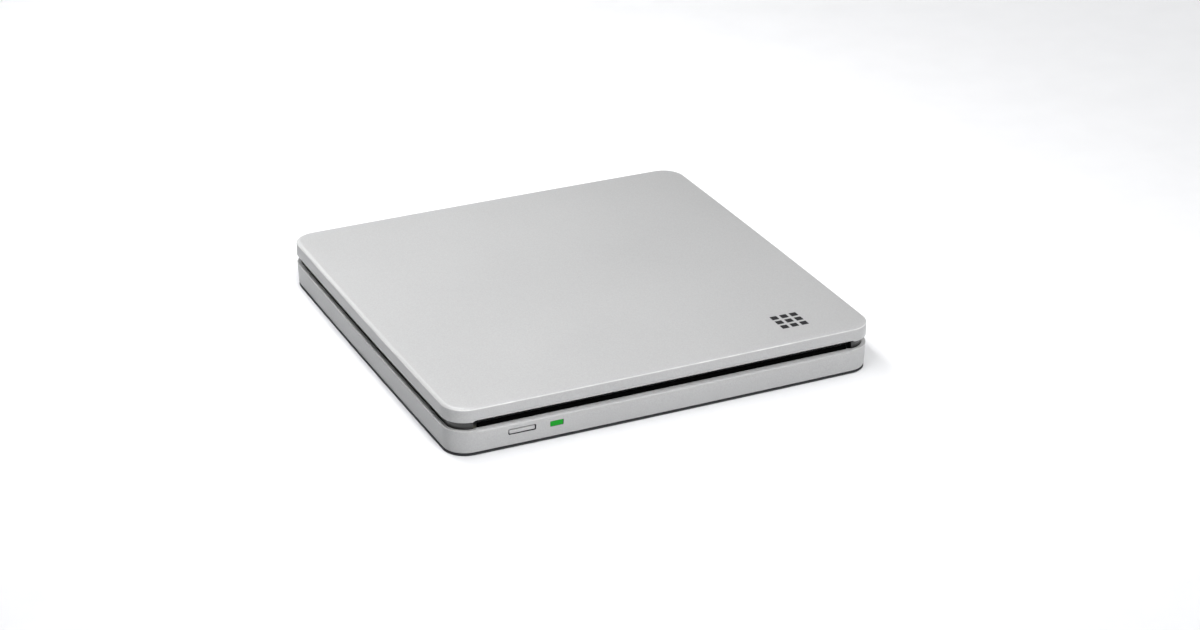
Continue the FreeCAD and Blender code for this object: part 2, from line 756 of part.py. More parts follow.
def makeTraverse():
    low, thick = "traverse_low", "traverse_thick"
    length = "(traverse_right - traverse_left)"
    plateAt = (f"traverse_left + {length} / 2", "spindle_y", low)
    plate = block("traverse_plate", plateAt, (length, "2 * traverse_half", thick))
    left, right = "(pickup_left - 1.3)", "(traverse_right - 1.2)"
    near = "(spindle_y - feed_at - feed_motor_radius - 0.5)"
    far = "(spindle_y + pickup_half + 0.5)"
    windowAt = (f"({left} + {right}) / 2", f"({near} + {far}) / 2", "0")
    window = block("traverse_window", windowAt, (f"{right} - {left}", f"{far} - {near}", "20"))
    motorTab = block("motor_tab", ("traverse_right - 1", "spindle_y - feed_at", low), ("1", "4", "2.2"))
    motorHole = rod("stator_hole", ("0", "spindle_y", "0"), "stator_radius + 0.05", "20")
    node(fused("traverse_frame", without("traverse_sheet", plate, window, motorHole), motorTab))
    mid = f"{low} + {thick} / 2"
    pinLong = "3.4"
    pins = [
        rod(f"traverse_pin_{name}", ("pivot_x", start, mid), "pivot_radius", pinLong, "y")
        for name, start in (
            ("a", f"spindle_y - traverse_half - {pinLong}"),
            ("b", "spindle_y + traverse_half"),
        )
    ]
    node(grouped("traverse_pins", pins))
    node(rod("cam_pin", ("traverse_left - 4.2", "spindle_y", mid), "cam_pin_radius", "4.2", "x"))
    holders = []
    for i, side in enumerate((-1, 1)):
        for j, x in enumerate((12.0, 62.4)):
            where = (x, f"spindle_y + ({side}) * rod_at", f"{low} + {thick}")
            holders.append(block(f"holder_block_{i}{j}", where, ("1.2", "3.4", "2.3")))
    bores = [
        rod(
            f"holder_bore_{i}",
            ("5", f"spindle_y + ({side}) * rod_at", "rod_mid"),
            "rod_radius + 0.01", "60", "x",
        )
        for i, side in enumerate((-1, 1))
    ]
    node(without("rod_holders", grouped("holder_blocks", holders), *bores))
    for label, side in (("main_guide_rod", -1), ("second_guide_rod", 1)):
        node(rod(label, ("11.2", f"spindle_y + ({side}) * rod_at", "rod_mid"), "rod_radius", "51.8", "x"))


def makeSpindle():
    low = "traverse_low"
    top = f"({low} + traverse_thick)"
    body = rod("stator_body", ("0", "spindle_y", f"{low} - 0.1"), "stator_radius", "traverse_thick + 0.2")
    flange = rod("stator_flange", ("0", "spindle_y", top), "stator_radius + 2.4", "0.3")
    coils = rod("stator_coils", ("0", "spindle_y", top), "9.4", "1.6")
    tube = rod("stator_tube", ("0", "spindle_y", top), "3", "1.75")
    bore = rod("stator_bore", ("0", "spindle_y", f"{low} + 0.1"), "shaft_radius + running_gap", "6")
    trench = without(
        "coil_trench",
        rod("trench_outer", ("0", "spindle_y", f"{top} + 0.9"), "4.6", "5"),
        rod("trench_inner", ("0", "spindle_y", f"{top} - 1"), "3.2", "9"),
    )
    node(without("spindle_stator", fused("stator_solid", body, flange, coils, tube), bore, trench))
    bellLow = f"({top} + 0.55)"
    bell = rod("rotor_bell", ("0", "spindle_y", bellLow), "bell_radius", f"table_low - {bellLow}")
    hollowHigh = f"table_low - 0.5 - {bellLow} + 1"
    hollow = rod("rotor_hollow", ("0", "spindle_y", f"{bellLow} - 1"), "bell_radius - bell_wall", hollowHigh)
    shaft = rod("rotor_shaft", ("0", "spindle_y", f"{low} + 0.3"), "shaft_radius", f"table_low - {low} - 0.3")
    table = rod("turntable", ("0", "spindle_y", "table_low"), "table_radius", "table_high - table_low")
    hub = rod("hub", ("0", "spindle_y", "table_high"), "hub_radius", "hub_top - table_high - 0.7")
    cone = doc.addObject("Part::Cone", "hub_cone")
    bind(cone, Radius1="hub_radius", Radius2="hub_radius - 1.2", Height="0.7")
    place(cone, ("0", "spindle_y", "hub_top - 0.7"))
    clawSlots = []
    claws = []
    for i in range(3):
        angle = 120 * i + 90
        turn = Rotation(Vector(0, 0, 1), angle)
        outward = turn.multVec(Vector(1, 0, 0))
        sideways = turn.multVec(Vector(0, 1, 0))
        for kind, start, long, wide, z, high, keep in (
            ("claw_slot", 4.8, 3.5, 3.0, "table_high + 0.25", "0.8", clawSlots),
            ("claw", 5.0, 2.5, 2.8, "table_high + 0.35", "0.6", claws),
        ):
            piece = doc.addObject("Part::Box", f"{kind}_{i}")
            bind(piece, Length=long, Width=wide, Height=high)
            base = outward * start - sideways * (wide / 2)
            piece.Placement = Placement(base, turn)
            bind(piece, y=f"spindle_y + {base.y:.4f}", z=z)
            keep.append(piece)
    rotor = fused("rotor_solid", without("rotor_cup", bell, hollow), shaft, table, hub, cone)
    node(without("spindle_rotor", rotor, *clawSlots))
    node(
        without(
            "disc_pad",
            rod("pad_outer", ("0", "spindle_y", "table_high"), "table_radius - 0.3", "0.2"),
            rod("pad_inner", ("0", "spindle_y", "table_high - 1"), "table_radius - 4", "3"),
        )
    )
    node(grouped("hub_claws", claws))


def makePickup():
    mid = "pickup_left + pickup_long / 2"
    bodySize = ("pickup_long", "2 * pickup_half", "pickup_top - pickup_low")
    body = block("pickup_block", (mid, "spindle_y", "pickup_low"), bodySize)
    pocket = block("actuator_pocket", ("lens_x", "spindle_y", "5.4"), ("8", "13", "5"))
    relief = rod("spindle_relief", ("0", "spindle_y", "0"), "bell_radius + 3", "20")
    bores = [
        rod(
            f"pickup_bore_{i}",
            ("10", f"spindle_y + ({side}) * rod_at", "rod_mid"),
            "rod_radius + running_gap", "60", "x",
        )
        for i, side in enumerate((-1, 1))
    ]
    window = block("pickup_window", ("lens_x", "spindle_y", "0"), ("3", "3", "20"))
    node(without("pickup_body", body, pocket, relief, window, *bores))
    magnets = [
        block(f"magnet_{i}", ("lens_x", f"spindle_y + ({side}) * 5.7", "5.4"), ("6", "1", "2.2"))
        for i, side in enumerate((-1, 1))
    ]
    node(grouped("pickup_magnets", magnets))
    holder = block("holder_solid", ("lens_x", "spindle_y", "6.2"), ("6.4", "8.8", "1.6"))
    seat = rod("lens_seat", ("lens_x", "spindle_y", "0"), "lens_radius + 0.02", "20")
    node(without("lens_holder", holder, seat))
    ball = doc.addObject("Part::Sphere", "lens_ball")
    bind(ball, Radius="2.6")
    place(ball, ("lens_x", "spindle_y", "5.5"))
    barrel = rod("lens_barrel", ("lens_x", "spindle_y", "7"), "lens_radius", "2")
    lens = doc.addObject("Part::Common", "objective_lens")
    lens.Base = barrel
    lens.Tool = ball
    node(lens)
    nutAt = ("pickup_left + 0.9", "spindle_y - feed_at + 2.1", "5.1")
    nut = block("follower_block", nutAt, ("1.8", "5.8", "2.4"))
    loose = "feed_radius + running_gap"
    groove = rod("follower_groove", ("5", "spindle_y - feed_at", "feed_mid"), loose, "60", "x")
    node(without("feed_follower", nut, groove))
    node(rod("lead_screw", ("13.4", "spindle_y - feed_at", "feed_mid"), "feed_radius", "38.6", "x"))
    can = rod("feed_can", ("50.9", "spindle_y - feed_at", "feed_mid"), "feed_motor_radius", "10.6", "x")
    flat = block("feed_flat", ("56", "spindle_y - feed_at", "3.8"), ("20", "8", "4.2"))
    common = doc.addObject("Part::Common", "feed_flattened")
    common.Base = can
    common.Tool = flat
    shaftBore = rod("feed_bore", ("50", "spindle_y - feed_at", "feed_mid"), loose, "2.2", "x")
    node(without("feed_motor", common, shaftBore))


def toothedWheel(label, at, teeth, module, thick, bore):
    # a spur wheel: a root disc with one tapered tooth repeated round it; thin teeth leave some backlash
    body = doc.addObject("PartDesign::Body", label)
    root = body.newObject("PartDesign::AdditiveCylinder", label + "_root")
    rootRadius = f"({teeth} / 2 - 1.25) * {module}"
    bind(root, Radius=rootRadius, Height=thick)
    tooth = body.newObject("PartDesign::AdditiveWedge", label + "_tooth")
    bind(
        tooth,
        Xmin=f"-0.85 * {module}", Xmax=f"0.85 * {module}", X2min=f"-0.3 * {module}", X2max=f"0.3 * {module}",
        Ymin=f"{rootRadius} - 0.1", Ymax=f"({teeth} / 2 + 0.85) * {module}",
        Zmin="0", Zmax=thick, Z2min="0", Z2max=thick,
    )
    doc.recompute()
    ring = body.newObject("PartDesign::PolarPattern", label + "_ring")
    ring.Originals = [tooth]
    ring.Axis = (originOf(body, "Z_Axis"), [""])
    ring.Angle = 360
    bind(ring, Occurrences=teeth)
    body.Tip = ring
    doc.recompute()
    hole = body.newObject("PartDesign::SubtractiveCylinder", label + "_bore")
    bind(hole, Radius=bore, Height=f"{thick} + 2")
    bind(hole, z="-1")
    body.Tip = hole
    doc.recompute()
    return place(body, at)


def makeLoadingGear():
    floor = "(drive_bottom + sheet_steel)"
    wheelAt = ("gear_x", "gear_y", "5")
    wheel = toothedWheel("worm_wheel", wheelAt, "wheel_teeth", "wheel_module", "0.9", "0.81")
    pinionAt = ("gear_x", "gear_y", "slider_low + 0.2")
    pinion = toothedWheel("rack_pinion", pinionAt, "pinion_teeth", "pinion_module", "1.5", "0.81")
    neck = without(
        "gear_neck",
        rod("neck_outer", ("gear_x", "gear_y", "slider_low + 1.6"), "2", "5 - slider_low - 1.5"),
        rod("neck_inner", ("gear_x", "gear_y", "0"), "0.81", "20"),
    )
    node(fused("reduction_gear", wheel, pinion, neck))
    node(rod("gear_pin", ("gear_x", "gear_y", floor), "0.75", "3.5"))
    wormX = "(gear_x - (wheel_teeth / 2 + 0.85) * wheel_module - worm_radius - 0.1)"
    thread = rod("worm_thread", (wormX, "gear_y - 7", "worm_mid"), "worm_radius", "14", "y")
    shaft = rod("worm_shaft", (wormX, "gear_y - 11", "worm_mid"), "0.5", "19", "y")
    node(fused("motor_worm", thread, shaft))
    can = rod("loading_can", (wormX, "gear_y - 20.5", "worm_mid"), "3.2", "12", "y")
    flat = block("loading_flat", (wormX, "gear_y - 14", "worm_mid - 2.4"), ("20", "30", "4.8"))
    common = doc.addObject("Part::Common", "loading_flattened")
    common.Base = can
    common.Tool = flat
    bore = rod("loading_bore", (wormX, "gear_y - 12", "worm_mid"), "0.5 + running_gap", "6", "y")
    node(without("loading_motor", common, bore))
    rackFace = "(gear_x + pinion_teeth / 2 * pinion_module + 1.2 * pinion_module)"
    barWide = f"(slider_right - {rackFace})"
    barAt = (f"{rackFace} + {barWide} / 2", "-16.5", "slider_low")
    bar = block("slider_bar", barAt, (barWide, "81", "slider_step - slider_low"))
    tower = block(
        "slider_tower",
        (f"slider_right - {barWide} / 2 + 1", "spindle_y - 3", "slider_step"),
        (f"{barWide} - 2", "40", "slider_top - slider_step"),
    )
    teeth = []
    for i in range(sizes["rack_teeth"]):
        tooth = doc.addObject("Part::Wedge", f"rack_tooth_{i}")
        tooth.Placement = Placement(Vector(), Rotation(Vector(0, 0, 1), 90))
        bind(
            tooth,
            Xmin="-0.85 * pinion_module", Xmax="0.85 * pinion_module",
            X2min="-0.3 * pinion_module", X2max="0.3 * pinion_module",
            Ymin="0", Ymax="2.05 * pinion_module",
            Zmin="0", Zmax="slider_step - slider_low", Z2min="0", Z2max="slider_step - slider_low",
        )
        place(tooth, (rackFace, f"gear_y + {1.5 - i} * {math.pi:.6f} * pinion_module", "slider_low"))
        teeth.append(tooth)
    slope = math.degrees(math.atan2(sizes["cam_drop"], sizes["cam_travel"]))
    half = sizes["cam_pin_radius"] + 0.3
    groove = doc.addObject("Part::Box", "cam_groove")
    turned = Rotation(Vector(1, 0, 0), slope)
    slant = "sqrt(cam_travel * cam_travel + cam_drop * cam_drop)"
    bind(groove, Length="3.6", Width=f"{slant} + 2.2", Height="2 * (cam_pin_radius + 0.3)")
    start = turned.multVec(Vector(0, 1.1, half))
    groove.Placement = Placement(Vector(), turned)
    place(
        groove,
        (
            "slider_right - 3.6 + 0.01",
            f"spindle_y - cam_travel - {start.y:.5f}",
            f"traverse_low + traverse_thick / 2 - cam_drop - {start.z:.5f}",
        ),
    )
    node(without("cam_slider", fused("slider_solid", bar, tower, *teeth), groove))


def lever(label, pivotX, pivotY, length, angle):
    # a flat arm under the lid: it turns on a post and carries a roller on a peg at its tip
    turn = Rotation(Vector(0, 0, 1), sizes[angle])
    reach = turn.multVec(Vector(sizes[length], 0, 0))
    side = turn.multVec(Vector(0, -sizes["lever_wide"] / 2, 0))
    bar = doc.addObject("Part::Box", label + "_bar")
    bar.Placement = Placement(Vector(), turn)
    bind(bar, Length=length, Width="lever_wide", Height="lever_thick")
    place(bar, (f"{pivotX} + {side.x:.5f}", f"{pivotY} + {side.y:.5f}", "lever_low"))
    tip = (f"{pivotX} + {reach.x:.5f}", f"{pivotY} + {reach.y:.5f}")
    eye = rod(label + "_eye", (pivotX, pivotY, "lever_low"), "4", "lever_thick")
    end = rod(label + "_end", (*tip, "lever_low"), "lever_wide / 2", "lever_thick")
    peg = rod(label + "_peg", (*tip, "lever_low - 2.1"), "0.7", "2.2")
    bore = rod(label + "_bore", (pivotX, pivotY, "0"), "1 + running_gap", "20")
    node(without(label, fused(label + "_solid", bar, eye, end, peg), bore))
    return tip


def makeLevers():
    tips = {
        "eject_roller": lever("eject_arm", "eject_pivot_x", "eject_pivot_y", "eject_long", "eject_angle"),
        "loading_roller": lever("loading_lever", "load_pivot_x", "load_pivot_y", "load_long", "load_angle"),
    }
    for label, tip in tips.items():
        tyre = rod(label + "_tyre", (*tip, "lever_low - 2"), "roller_radius", "1.8")
        hole = rod(label + "_hole", (*tip, "0"), "0.7 + running_gap", "20")
        node(without(label, tyre, hole))
    floor = "(drive_bottom + sheet_steel)"
    pins = [
        rod(f"lever_pin_{i}", (x, y, floor), "1", f"drive_lid - {floor}")
        for i, (x, y) in enumerate((("eject_pivot_x", "eject_pivot_y"), ("load_pivot_x", "load_pivot_y")))
    ]
    node(grouped("lever_pins", pins))


def writeParts():
    doc.recompute()
    bad = [thing.Name for thing in doc.Objects if {"Invalid", "Error"} & set(thing.State)]
    for piece in nodes:
        if piece.Shape.isNull() or not piece.Shape.isValid() or not piece.Shape.Solids:
            bad.append(piece.Name + " has no valid solid")
    if bad:
        raise SystemExit(f"not written: {bad}")
    os.makedirs("parts", exist_ok=True)
    for piece in nodes:
        solids = len(piece.Shape.Solids)
        print(f"{piece.Label}: {solids} solid(s), {piece.Shape.Volume:.2f} mm3")
        piece.Shape.exportStep(f"parts/{piece.Label}.step")


makeTopCover()
makeLowerShell()
makeInnerFrame()
makeBasePlate()
makeSlotFelts()
makeFrontControls()
makeDriveBody()
makeElectronics()
makeTraverse()
makeSpindle()
makePickup()
makeLoadingGear()
makeLevers()
writeParts()
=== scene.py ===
import json
import math

import bpy
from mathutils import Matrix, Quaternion, Vector


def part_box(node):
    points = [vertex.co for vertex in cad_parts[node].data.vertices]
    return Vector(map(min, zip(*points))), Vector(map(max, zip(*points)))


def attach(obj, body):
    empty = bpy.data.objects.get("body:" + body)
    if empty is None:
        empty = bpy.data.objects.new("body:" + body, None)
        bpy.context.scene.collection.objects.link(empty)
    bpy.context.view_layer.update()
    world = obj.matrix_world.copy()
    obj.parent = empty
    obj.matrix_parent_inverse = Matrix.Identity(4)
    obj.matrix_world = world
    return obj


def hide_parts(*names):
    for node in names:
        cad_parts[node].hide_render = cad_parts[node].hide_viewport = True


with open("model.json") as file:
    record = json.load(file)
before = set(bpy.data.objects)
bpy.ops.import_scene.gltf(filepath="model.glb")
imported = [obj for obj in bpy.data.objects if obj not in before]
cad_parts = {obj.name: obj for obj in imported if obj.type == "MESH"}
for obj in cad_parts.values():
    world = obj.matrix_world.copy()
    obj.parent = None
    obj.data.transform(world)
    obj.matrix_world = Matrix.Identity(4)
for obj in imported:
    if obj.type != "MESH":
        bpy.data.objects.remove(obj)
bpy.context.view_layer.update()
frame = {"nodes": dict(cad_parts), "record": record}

mm = 0.001
nodes = frame["nodes"]
slotOf = {part["node"]: part["material_slot"] for part in frame["record"]["subparts"]}
scene = bpy.context.scene


# node trees: sockets as expressions
class Wire:
    # an output socket that can be added, multiplied and so on; each sign adds one Math node
    def __init__(self, tree, socket):
        self.tree, self.socket = tree, socket

    def maths(self, operation, *others, clamp=False):
        settings = {"operation": operation, "use_clamp": clamp}
        return self.tree.add("ShaderNodeMath", settings, dict(enumerate((self, *others))))

    def __add__(self, other):
        return self.maths("ADD", other)

    def __sub__(self, other):
        return self.maths("SUBTRACT", other)

    def __rsub__(self, other):
        return (self * -1.0) + other

    def __mul__(self, other):
        return self.maths("MULTIPLY", other)

    def __truediv__(self, other):
        return self.maths("DIVIDE", other)

    def __abs__(self):
        return self.maths("ABSOLUTE")

    __radd__ = __add__
    __rmul__ = __mul__

    def clamped(self):
        return self.maths("ADD", 0.0, clamp=True)


class Tree:
    # a shader or geometry tree; add() makes any node from its type, its settings and its inputs
    def __init__(self, tree):
        self.tree = tree

    def add(self, kind, settings=None, inputs=None, output=0):
        made = self.tree.nodes.new(kind)
        for name, value in (settings or {}).items():
            setattr(made, name, value)
        for name, value in (inputs or {}).items():
            self.feed(made.inputs[name], value)
        return Wire(self, made.outputs[output])

    def feed(self, socket, value):
        if isinstance(value, Wire):
            self.tree.links.new(value.socket, socket)
        else:
            socket.default_value = value

    def outputOf(self, wire, name):
        return Wire(self, wire.socket.node.outputs[name])


class Finish(Tree):
    # a material: a Principled shader, object coordinates and the textures most finishes need
    def __init__(self, name, base):
        self.material = bpy.data.materials.new(name)
        self.material.use_nodes = True
        super().__init__(self.material.node_tree)
        self.shader = self.tree.nodes["Principled BSDF"]
        self.place = self.add("ShaderNodeTexCoord", output="Object")
        for socket, value in base.items():
            self.shader.inputs[socket].default_value = value

    def stretched(self, scale):
        inputs = {"Vector": self.place, "Scale": scale}
        return self.add("ShaderNodeMapping", {"vector_type": "POINT"}, inputs)

    def noise(self, scale, detail=2.0, rough=0.5, at=None):
        inputs = {"Vector": at or self.place, "Scale": scale, "Detail": detail, "Roughness": rough}
        return self.add("ShaderNodeTexNoise", None, inputs)

    def mix(self, factor, low, high):
        # a colour between low and high
        made = self.tree.nodes.new("ShaderNodeMix")
        made.data_type = "RGBA"
        for index, value in ((0, factor), (6, low), (7, high)):
            self.feed(made.inputs[index], value)
        return Wire(self, made.outputs[2])

    def ramp(self, factor, low, high):
        # 0 below low and 1 above high
        settings = {"interpolation_type": "SMOOTHSTEP"}
        inputs = {"Value": factor, "From Min": low, "From Max": high}
        return self.add("ShaderNodeMapRange", settings, inputs)

    def set(self, **links):
        for socket, wire in links.items():
            self.feed(self.shader.inputs[socket.replace("_", " ")], wire)

    def bump(self, height, strength, distance):
        inputs = {"Height": height, "Strength": strength, "Distance": distance}
        self.set(Normal=self.add("ShaderNodeBump", None, inputs))


def grey(value, warmth=0.0):
    return (value * (1 + warmth), value, value * (1 - warmth), 1.0)


# finishes
silverForm = {
    "colour": (0.34, 0.341, 0.343, 1.0),
    "bright": (0.411, 0.412, 0.414, 1.0),
    "metal": 0.08,
    "specular": 0.22,
    "roughness": 0.4,
    "flakeScale": 2600.0,
    "flakeContrast": 0.13,
    "edgeWidth": 0.00022,
    "edgeRub": 0.55,
    "coat": 0.15,
    "coatRoughness": 0.16,
    "cloudScale": 22.0,
    "rubScale": 180.0,
    # colour of the lighter edges: worn paint and a painted highlight
    "wornAndHighlit": (0.74, 0.74, 0.735, 1.0),
}
# height of each edge painted lighter, partly as worn paint and partly as a painted highlight where the
# edge catches light, and how strongly
coverWearAndHighlightEdges = ((14.93 * mm, 0.75), (10.9 * mm, 0.2))
shellWearAndHighlightEdges = ((8.2 * mm, 0.45), (1.3 * mm, 0.15))


def silverPaint(name, edgeHeights=(), form=silverForm):
    paint = Finish(name, {
        "Metallic": form["metal"], "Specular IOR Level": form["specular"],
        "Coat Weight": form["coat"], "Coat Roughness": form["coatRoughness"],
    })
    flakes = paint.noise(form["flakeScale"], 2.0, 0.65)
    clouds = paint.noise(form["cloudScale"], 3.0)
    height = paint.outputOf(paint.add("ShaderNodeSeparateXYZ", None, {"Vector": paint.place}), "Z")
    rub = paint.ramp(paint.noise(form["rubScale"], 3.0), 0.42, 0.68)
    edge = rub * 0.0
    for level, amount in edgeHeights:
        near = 1.0 - (abs(height - level) / form["edgeWidth"]).clamped()
        edge = near * amount + edge
    # edges painted lighter and glossier: partly worn paint, partly a painted highlight along the edge
    wearAndHighlight = (edge * (rub * (1 - form["edgeRub"]) + form["edgeRub"])).clamped()
    spark = ((flakes - 0.5) * form["flakeContrast"] * 8.0 + 0.5 + (clouds - 0.5) * 0.35).clamped()
    dark = tuple(channel * (1 - form["flakeContrast"]) for channel in form["colour"][:3]) + (1.0,)
    body = paint.mix(spark, dark, form["bright"])
    wornAndHighlit = paint.mix(wearAndHighlight, body, form["wornAndHighlit"])
    paint.set(Base_Color=wornAndHighlit)
    paint.set(Roughness=form["roughness"] + (flakes - 0.5) * 0.12 + (clouds - 0.5) * 0.05 - wearAndHighlight * 0.08)
    paint.bump(flakes, 0.08, 0.00004)
    return paint.material


def glossPlastic(name, colour, roughness, smudge=0.08):
    plastic = Finish(name, {"Coat Weight": 0.35, "Coat Roughness": 0.06})
    haze = plastic.noise(60.0, 4.0)
    dust = plastic.ramp(plastic.noise(1500.0, 2.0), 0.6, 0.75)
    lifted = tuple(min(1.0, channel * 1.5 + 0.006) for channel in colour[:3]) + (1.0,)
    plastic.set(Base_Color=plastic.mix(dust * 0.5, colour, lifted))
    plastic.set(Roughness=roughness + (haze - 0.5) * smudge + dust * 0.04)
    plastic.bump(plastic.noise(350.0, 2.0), 0.03, 0.00002)
    return plastic.material


def mattePlastic(name, colour, roughness=0.6, grain=1800.0, depth=0.25, spread=0.18):
    plastic = Finish(name, {})
    pits = plastic.noise(grain, 2.0, 0.6)
    clouds = plastic.noise(40.0, 3.0)
    low = tuple(channel * (1 - spread) for channel in colour[:3]) + (1.0,)
    high = tuple(min(1.0, channel * (1 + spread)) for channel in colour[:3]) + (1.0,)
    plastic.set(Base_Color=plastic.mix((pits * 0.5 + clouds * 0.5).clamped(), low, high))
    plastic.set(Roughness=roughness + (pits - 0.5) * 0.15)
    plastic.bump(pits, depth, 0.00003)
    return plastic.material


def sheetMetal(name, colour, roughness, stretch=(1.0, 40.0, 40.0), scale=120.0, metal=0.95):
    steel = Finish(name, {"Metallic": metal})
    grain = steel.noise(scale, 3.0, 0.6, steel.stretched(stretch))
    spangle = steel.add("ShaderNodeTexVoronoi", None, {"Vector": steel.place, "Scale": 160.0})
    low = tuple(channel * 0.82 for channel in colour[:3]) + (1.0,)
    high = tuple(min(1.0, channel * 1.1) for channel in colour[:3]) + (1.0,)
    steel.set(Base_Color=steel.mix((grain * 0.8 + spangle * 0.25).clamped(), low, high))
    steel.set(Roughness=roughness + (grain - 0.5) * 0.2)
    steel.bump(grain, 0.12, 0.00002)
    return steel.material


def circuitBoard(name):
    board = Finish(name, {"Coat Weight": 0.3})
    traces = board.add("ShaderNodeTexBrick", {"offset": 0.37}, {
        "Vector": board.place, "Scale": 420.0, "Mortar Size": 0.035, "Mortar Smooth": 0.1,
        "Color1": (0.0, 0.0, 0.0, 1.0), "Color2": (0.0, 0.0, 0.0, 1.0), "Mortar": (1.0, 1.0, 1.0, 1.0),
    })
    dots = board.add("ShaderNodeTexVoronoi", None, {"Vector": board.place, "Scale": 500.0})
    pads = board.ramp(dots, 0.22, 0.12)
    mask = board.mix(traces * 0.5, (0.012, 0.10, 0.035, 1.0), (0.03, 0.22, 0.08, 1.0))
    board.set(Base_Color=board.mix(pads * 0.8, mask, (0.72, 0.6, 0.3, 1.0)))
    board.set(Roughness=0.35 + pads * 0.1 + (board.noise(900.0) - 0.5) * 0.1)
    board.bump(traces, 0.1, 0.00002)
    return board.material


def greenLens(name):
    lens = Finish(name, {"Roughness": 0.35, "Emission Strength": 0.1, "Specular IOR Level": 0.12})
    swirl = lens.noise(900.0, 2.0)
    colour = lens.mix(swirl, (0.005, 0.17, 0.011, 1.0), (0.01, 0.27, 0.02, 1.0))
    lens.set(Base_Color=colour, Emission_Color=colour)
    lens.bump(swirl, 0.1, 0.00003)
    return lens.material


def woolFelt(name):
    felt = Finish(name, {"Roughness": 1.0, "Specular IOR Level": 0.0})
    fibres = felt.noise(2400.0, 3.0, 0.7, felt.stretched((1.0, 3.0, 3.0)))
    felt.set(Base_Color=felt.mix(fibres, (0.0008, 0.0008, 0.0008, 1.0), (0.003, 0.003, 0.003, 1.0)))
    felt.bump(fibres, 0.5, 0.0001)
    return felt.material


def clearGlass(name):
    glass = Finish(name, {"Transmission Weight": 0.9, "IOR": 1.5})
    tint = glass.noise(700.0)
    glass.set(Base_Color=glass.mix(tint, (0.72, 0.78, 0.95, 1.0), (0.8, 0.86, 1.0, 1.0)))
    glass.set(Roughness=0.03 + (tint - 0.5) * 0.02)
    return glass.material


def ink(name):
    film = Finish(name, {"Specular IOR Level": 0.15})
    grain = film.noise(3000.0, 2.0)
    film.set(Base_Color=film.mix(grain, (0.006, 0.006, 0.007, 1.0), (0.014, 0.014, 0.015, 1.0)))
    film.set(Roughness=0.6 + (grain - 0.5) * 0.15)
    return film.material


finishes = {
    "silver_paint": silverPaint("silver paint", coverWearAndHighlightEdges),
    "silver_paint_lower": silverPaint("silver paint lower", shellWearAndHighlightEdges),
    "silver_button": silverPaint("silver button"),
    "black_gloss": glossPlastic("polished black", (0.004, 0.004, 0.0045, 1.0), 0.14),
    "black_matte": mattePlastic("textured black", grey(0.012, -0.15), 0.55),
    "label_film": mattePlastic("label film", grey(0.09), 0.45, 600.0, 0.05),
    "foot_rubber": mattePlastic("foot rubber", grey(0.028), 0.8, 900.0, 0.4),
    "black_steel": sheetMetal("black steel", grey(0.07), 0.4, (1, 1, 1), 500.0),
    "zinc_steel": sheetMetal("zinc steel", grey(0.62), 0.3, (1, 1, 1), 500.0),
    "felt": woolFelt("wool felt"),
    "green_lens": greenLens("green lens"),
    "circuit_board": circuitBoard("circuit board"),
    "led_epoxy": glossPlastic("clear epoxy", (0.75, 0.8, 0.7, 1.0), 0.2),
    "flat_cable": mattePlastic("flat cable", (0.72, 0.69, 0.6, 1.0), 0.4, 500.0, 0.1),
    "galvanised_steel": sheetMetal("galvanised steel", grey(0.6), 0.38),
    "foam": mattePlastic("open foam", grey(0.06), 0.95, 1200.0, 0.9),
    "insulator_film": glossPlastic("insulator film", grey(0.03), 0.3),
    "chip_black": mattePlastic("chip epoxy", grey(0.03), 0.5, 1500.0, 0.15),
    "connector_ivory": mattePlastic("connector nylon", (0.74, 0.69, 0.56, 1.0), 0.45, 900.0, 0.1, 0.06),
    "polished_steel": sheetMetal("polished steel", grey(0.72), 0.14, (1, 1, 1), 300.0, 1.0),
    "grey_plastic": mattePlastic("grey acetal", grey(0.3), 0.45, 900.0, 0.1, 0.08),
    "copper_coil": sheetMetal("copper coil", (0.72, 0.35, 0.17, 1.0), 0.35, (1, 1, 60), 300.0),
    "pad_rubber": mattePlastic("pad rubber", grey(0.04), 0.85, 900.0, 0.3),
    "cast_zinc": sheetMetal("cast zinc", grey(0.5), 0.5, (1, 1, 1), 900.0),
    "magnet": sheetMetal("magnet nickel", grey(0.62), 0.2, (1, 1, 1), 300.0),
    "lens_glass": clearGlass("lens glass"),
    "brass": sheetMetal("turned brass", (0.8, 0.6, 0.28, 1.0), 0.28, (40, 1, 1), 300.0),
    "motor_can": sheetMetal("motor can", grey(0.58), 0.3),
    "white_acetal": mattePlastic("white acetal", grey(0.8), 0.4, 900.0, 0.1, 0.04),
}
inkMaterial = ink("printing ink")


# mesh helpers
sharpAngle = math.radians(32.0)


def meshObject(name, points, faces, material):
    mesh = bpy.data.meshes.new(name)
    mesh.from_pydata([tuple(point) for point in points], [], faces)
    mesh.materials.append(material)
    mesh.polygons.foreach_set("use_smooth", [True] * len(mesh.polygons))
    mesh.set_sharp_from_angle(angle=sharpAngle)
    made = bpy.data.objects.new(name, mesh)
    scene.collection.objects.link(made)
    return made


def settled(made, name=None):
    # the evaluated object as a plain mesh, without its modifiers
    graph = bpy.context.evaluated_depsgraph_get()
    mesh = bpy.data.meshes.new_from_object(made.evaluated_get(graph))
    made.modifiers.clear()
    made.data = mesh
    if name:
        made.name = name
    return made


def bend(start, corner, end, steps):
    # points of a rounded corner, from start to end
    row = []
    for i in range(steps + 1):
        t = i / steps
        near, between, far = (1 - t) ** 2, 2 * t * (1 - t), t * t
        row.append(tuple(near * a + between * b + far * c for a, b, c in zip(start, corner, end)))
    return row


def ease(value):
    value = min(1.0, max(0.0, value))
    return value * value * (3 - 2 * value)


# the case's outline: bowed sides with tangent corner arcs
coverLow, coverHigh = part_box("top_cover")
shellLow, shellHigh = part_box("lower_shell")
outlineForm = {
    "halfWide": 70.0 * mm,
    "halfDeep": 69.5 * mm,
    "bow": 0.4 * mm,
    "corner": 7.5 * mm,
    "frontSteps": 120,
    "sideSteps": 28,
    "cornerSteps": 32,
}


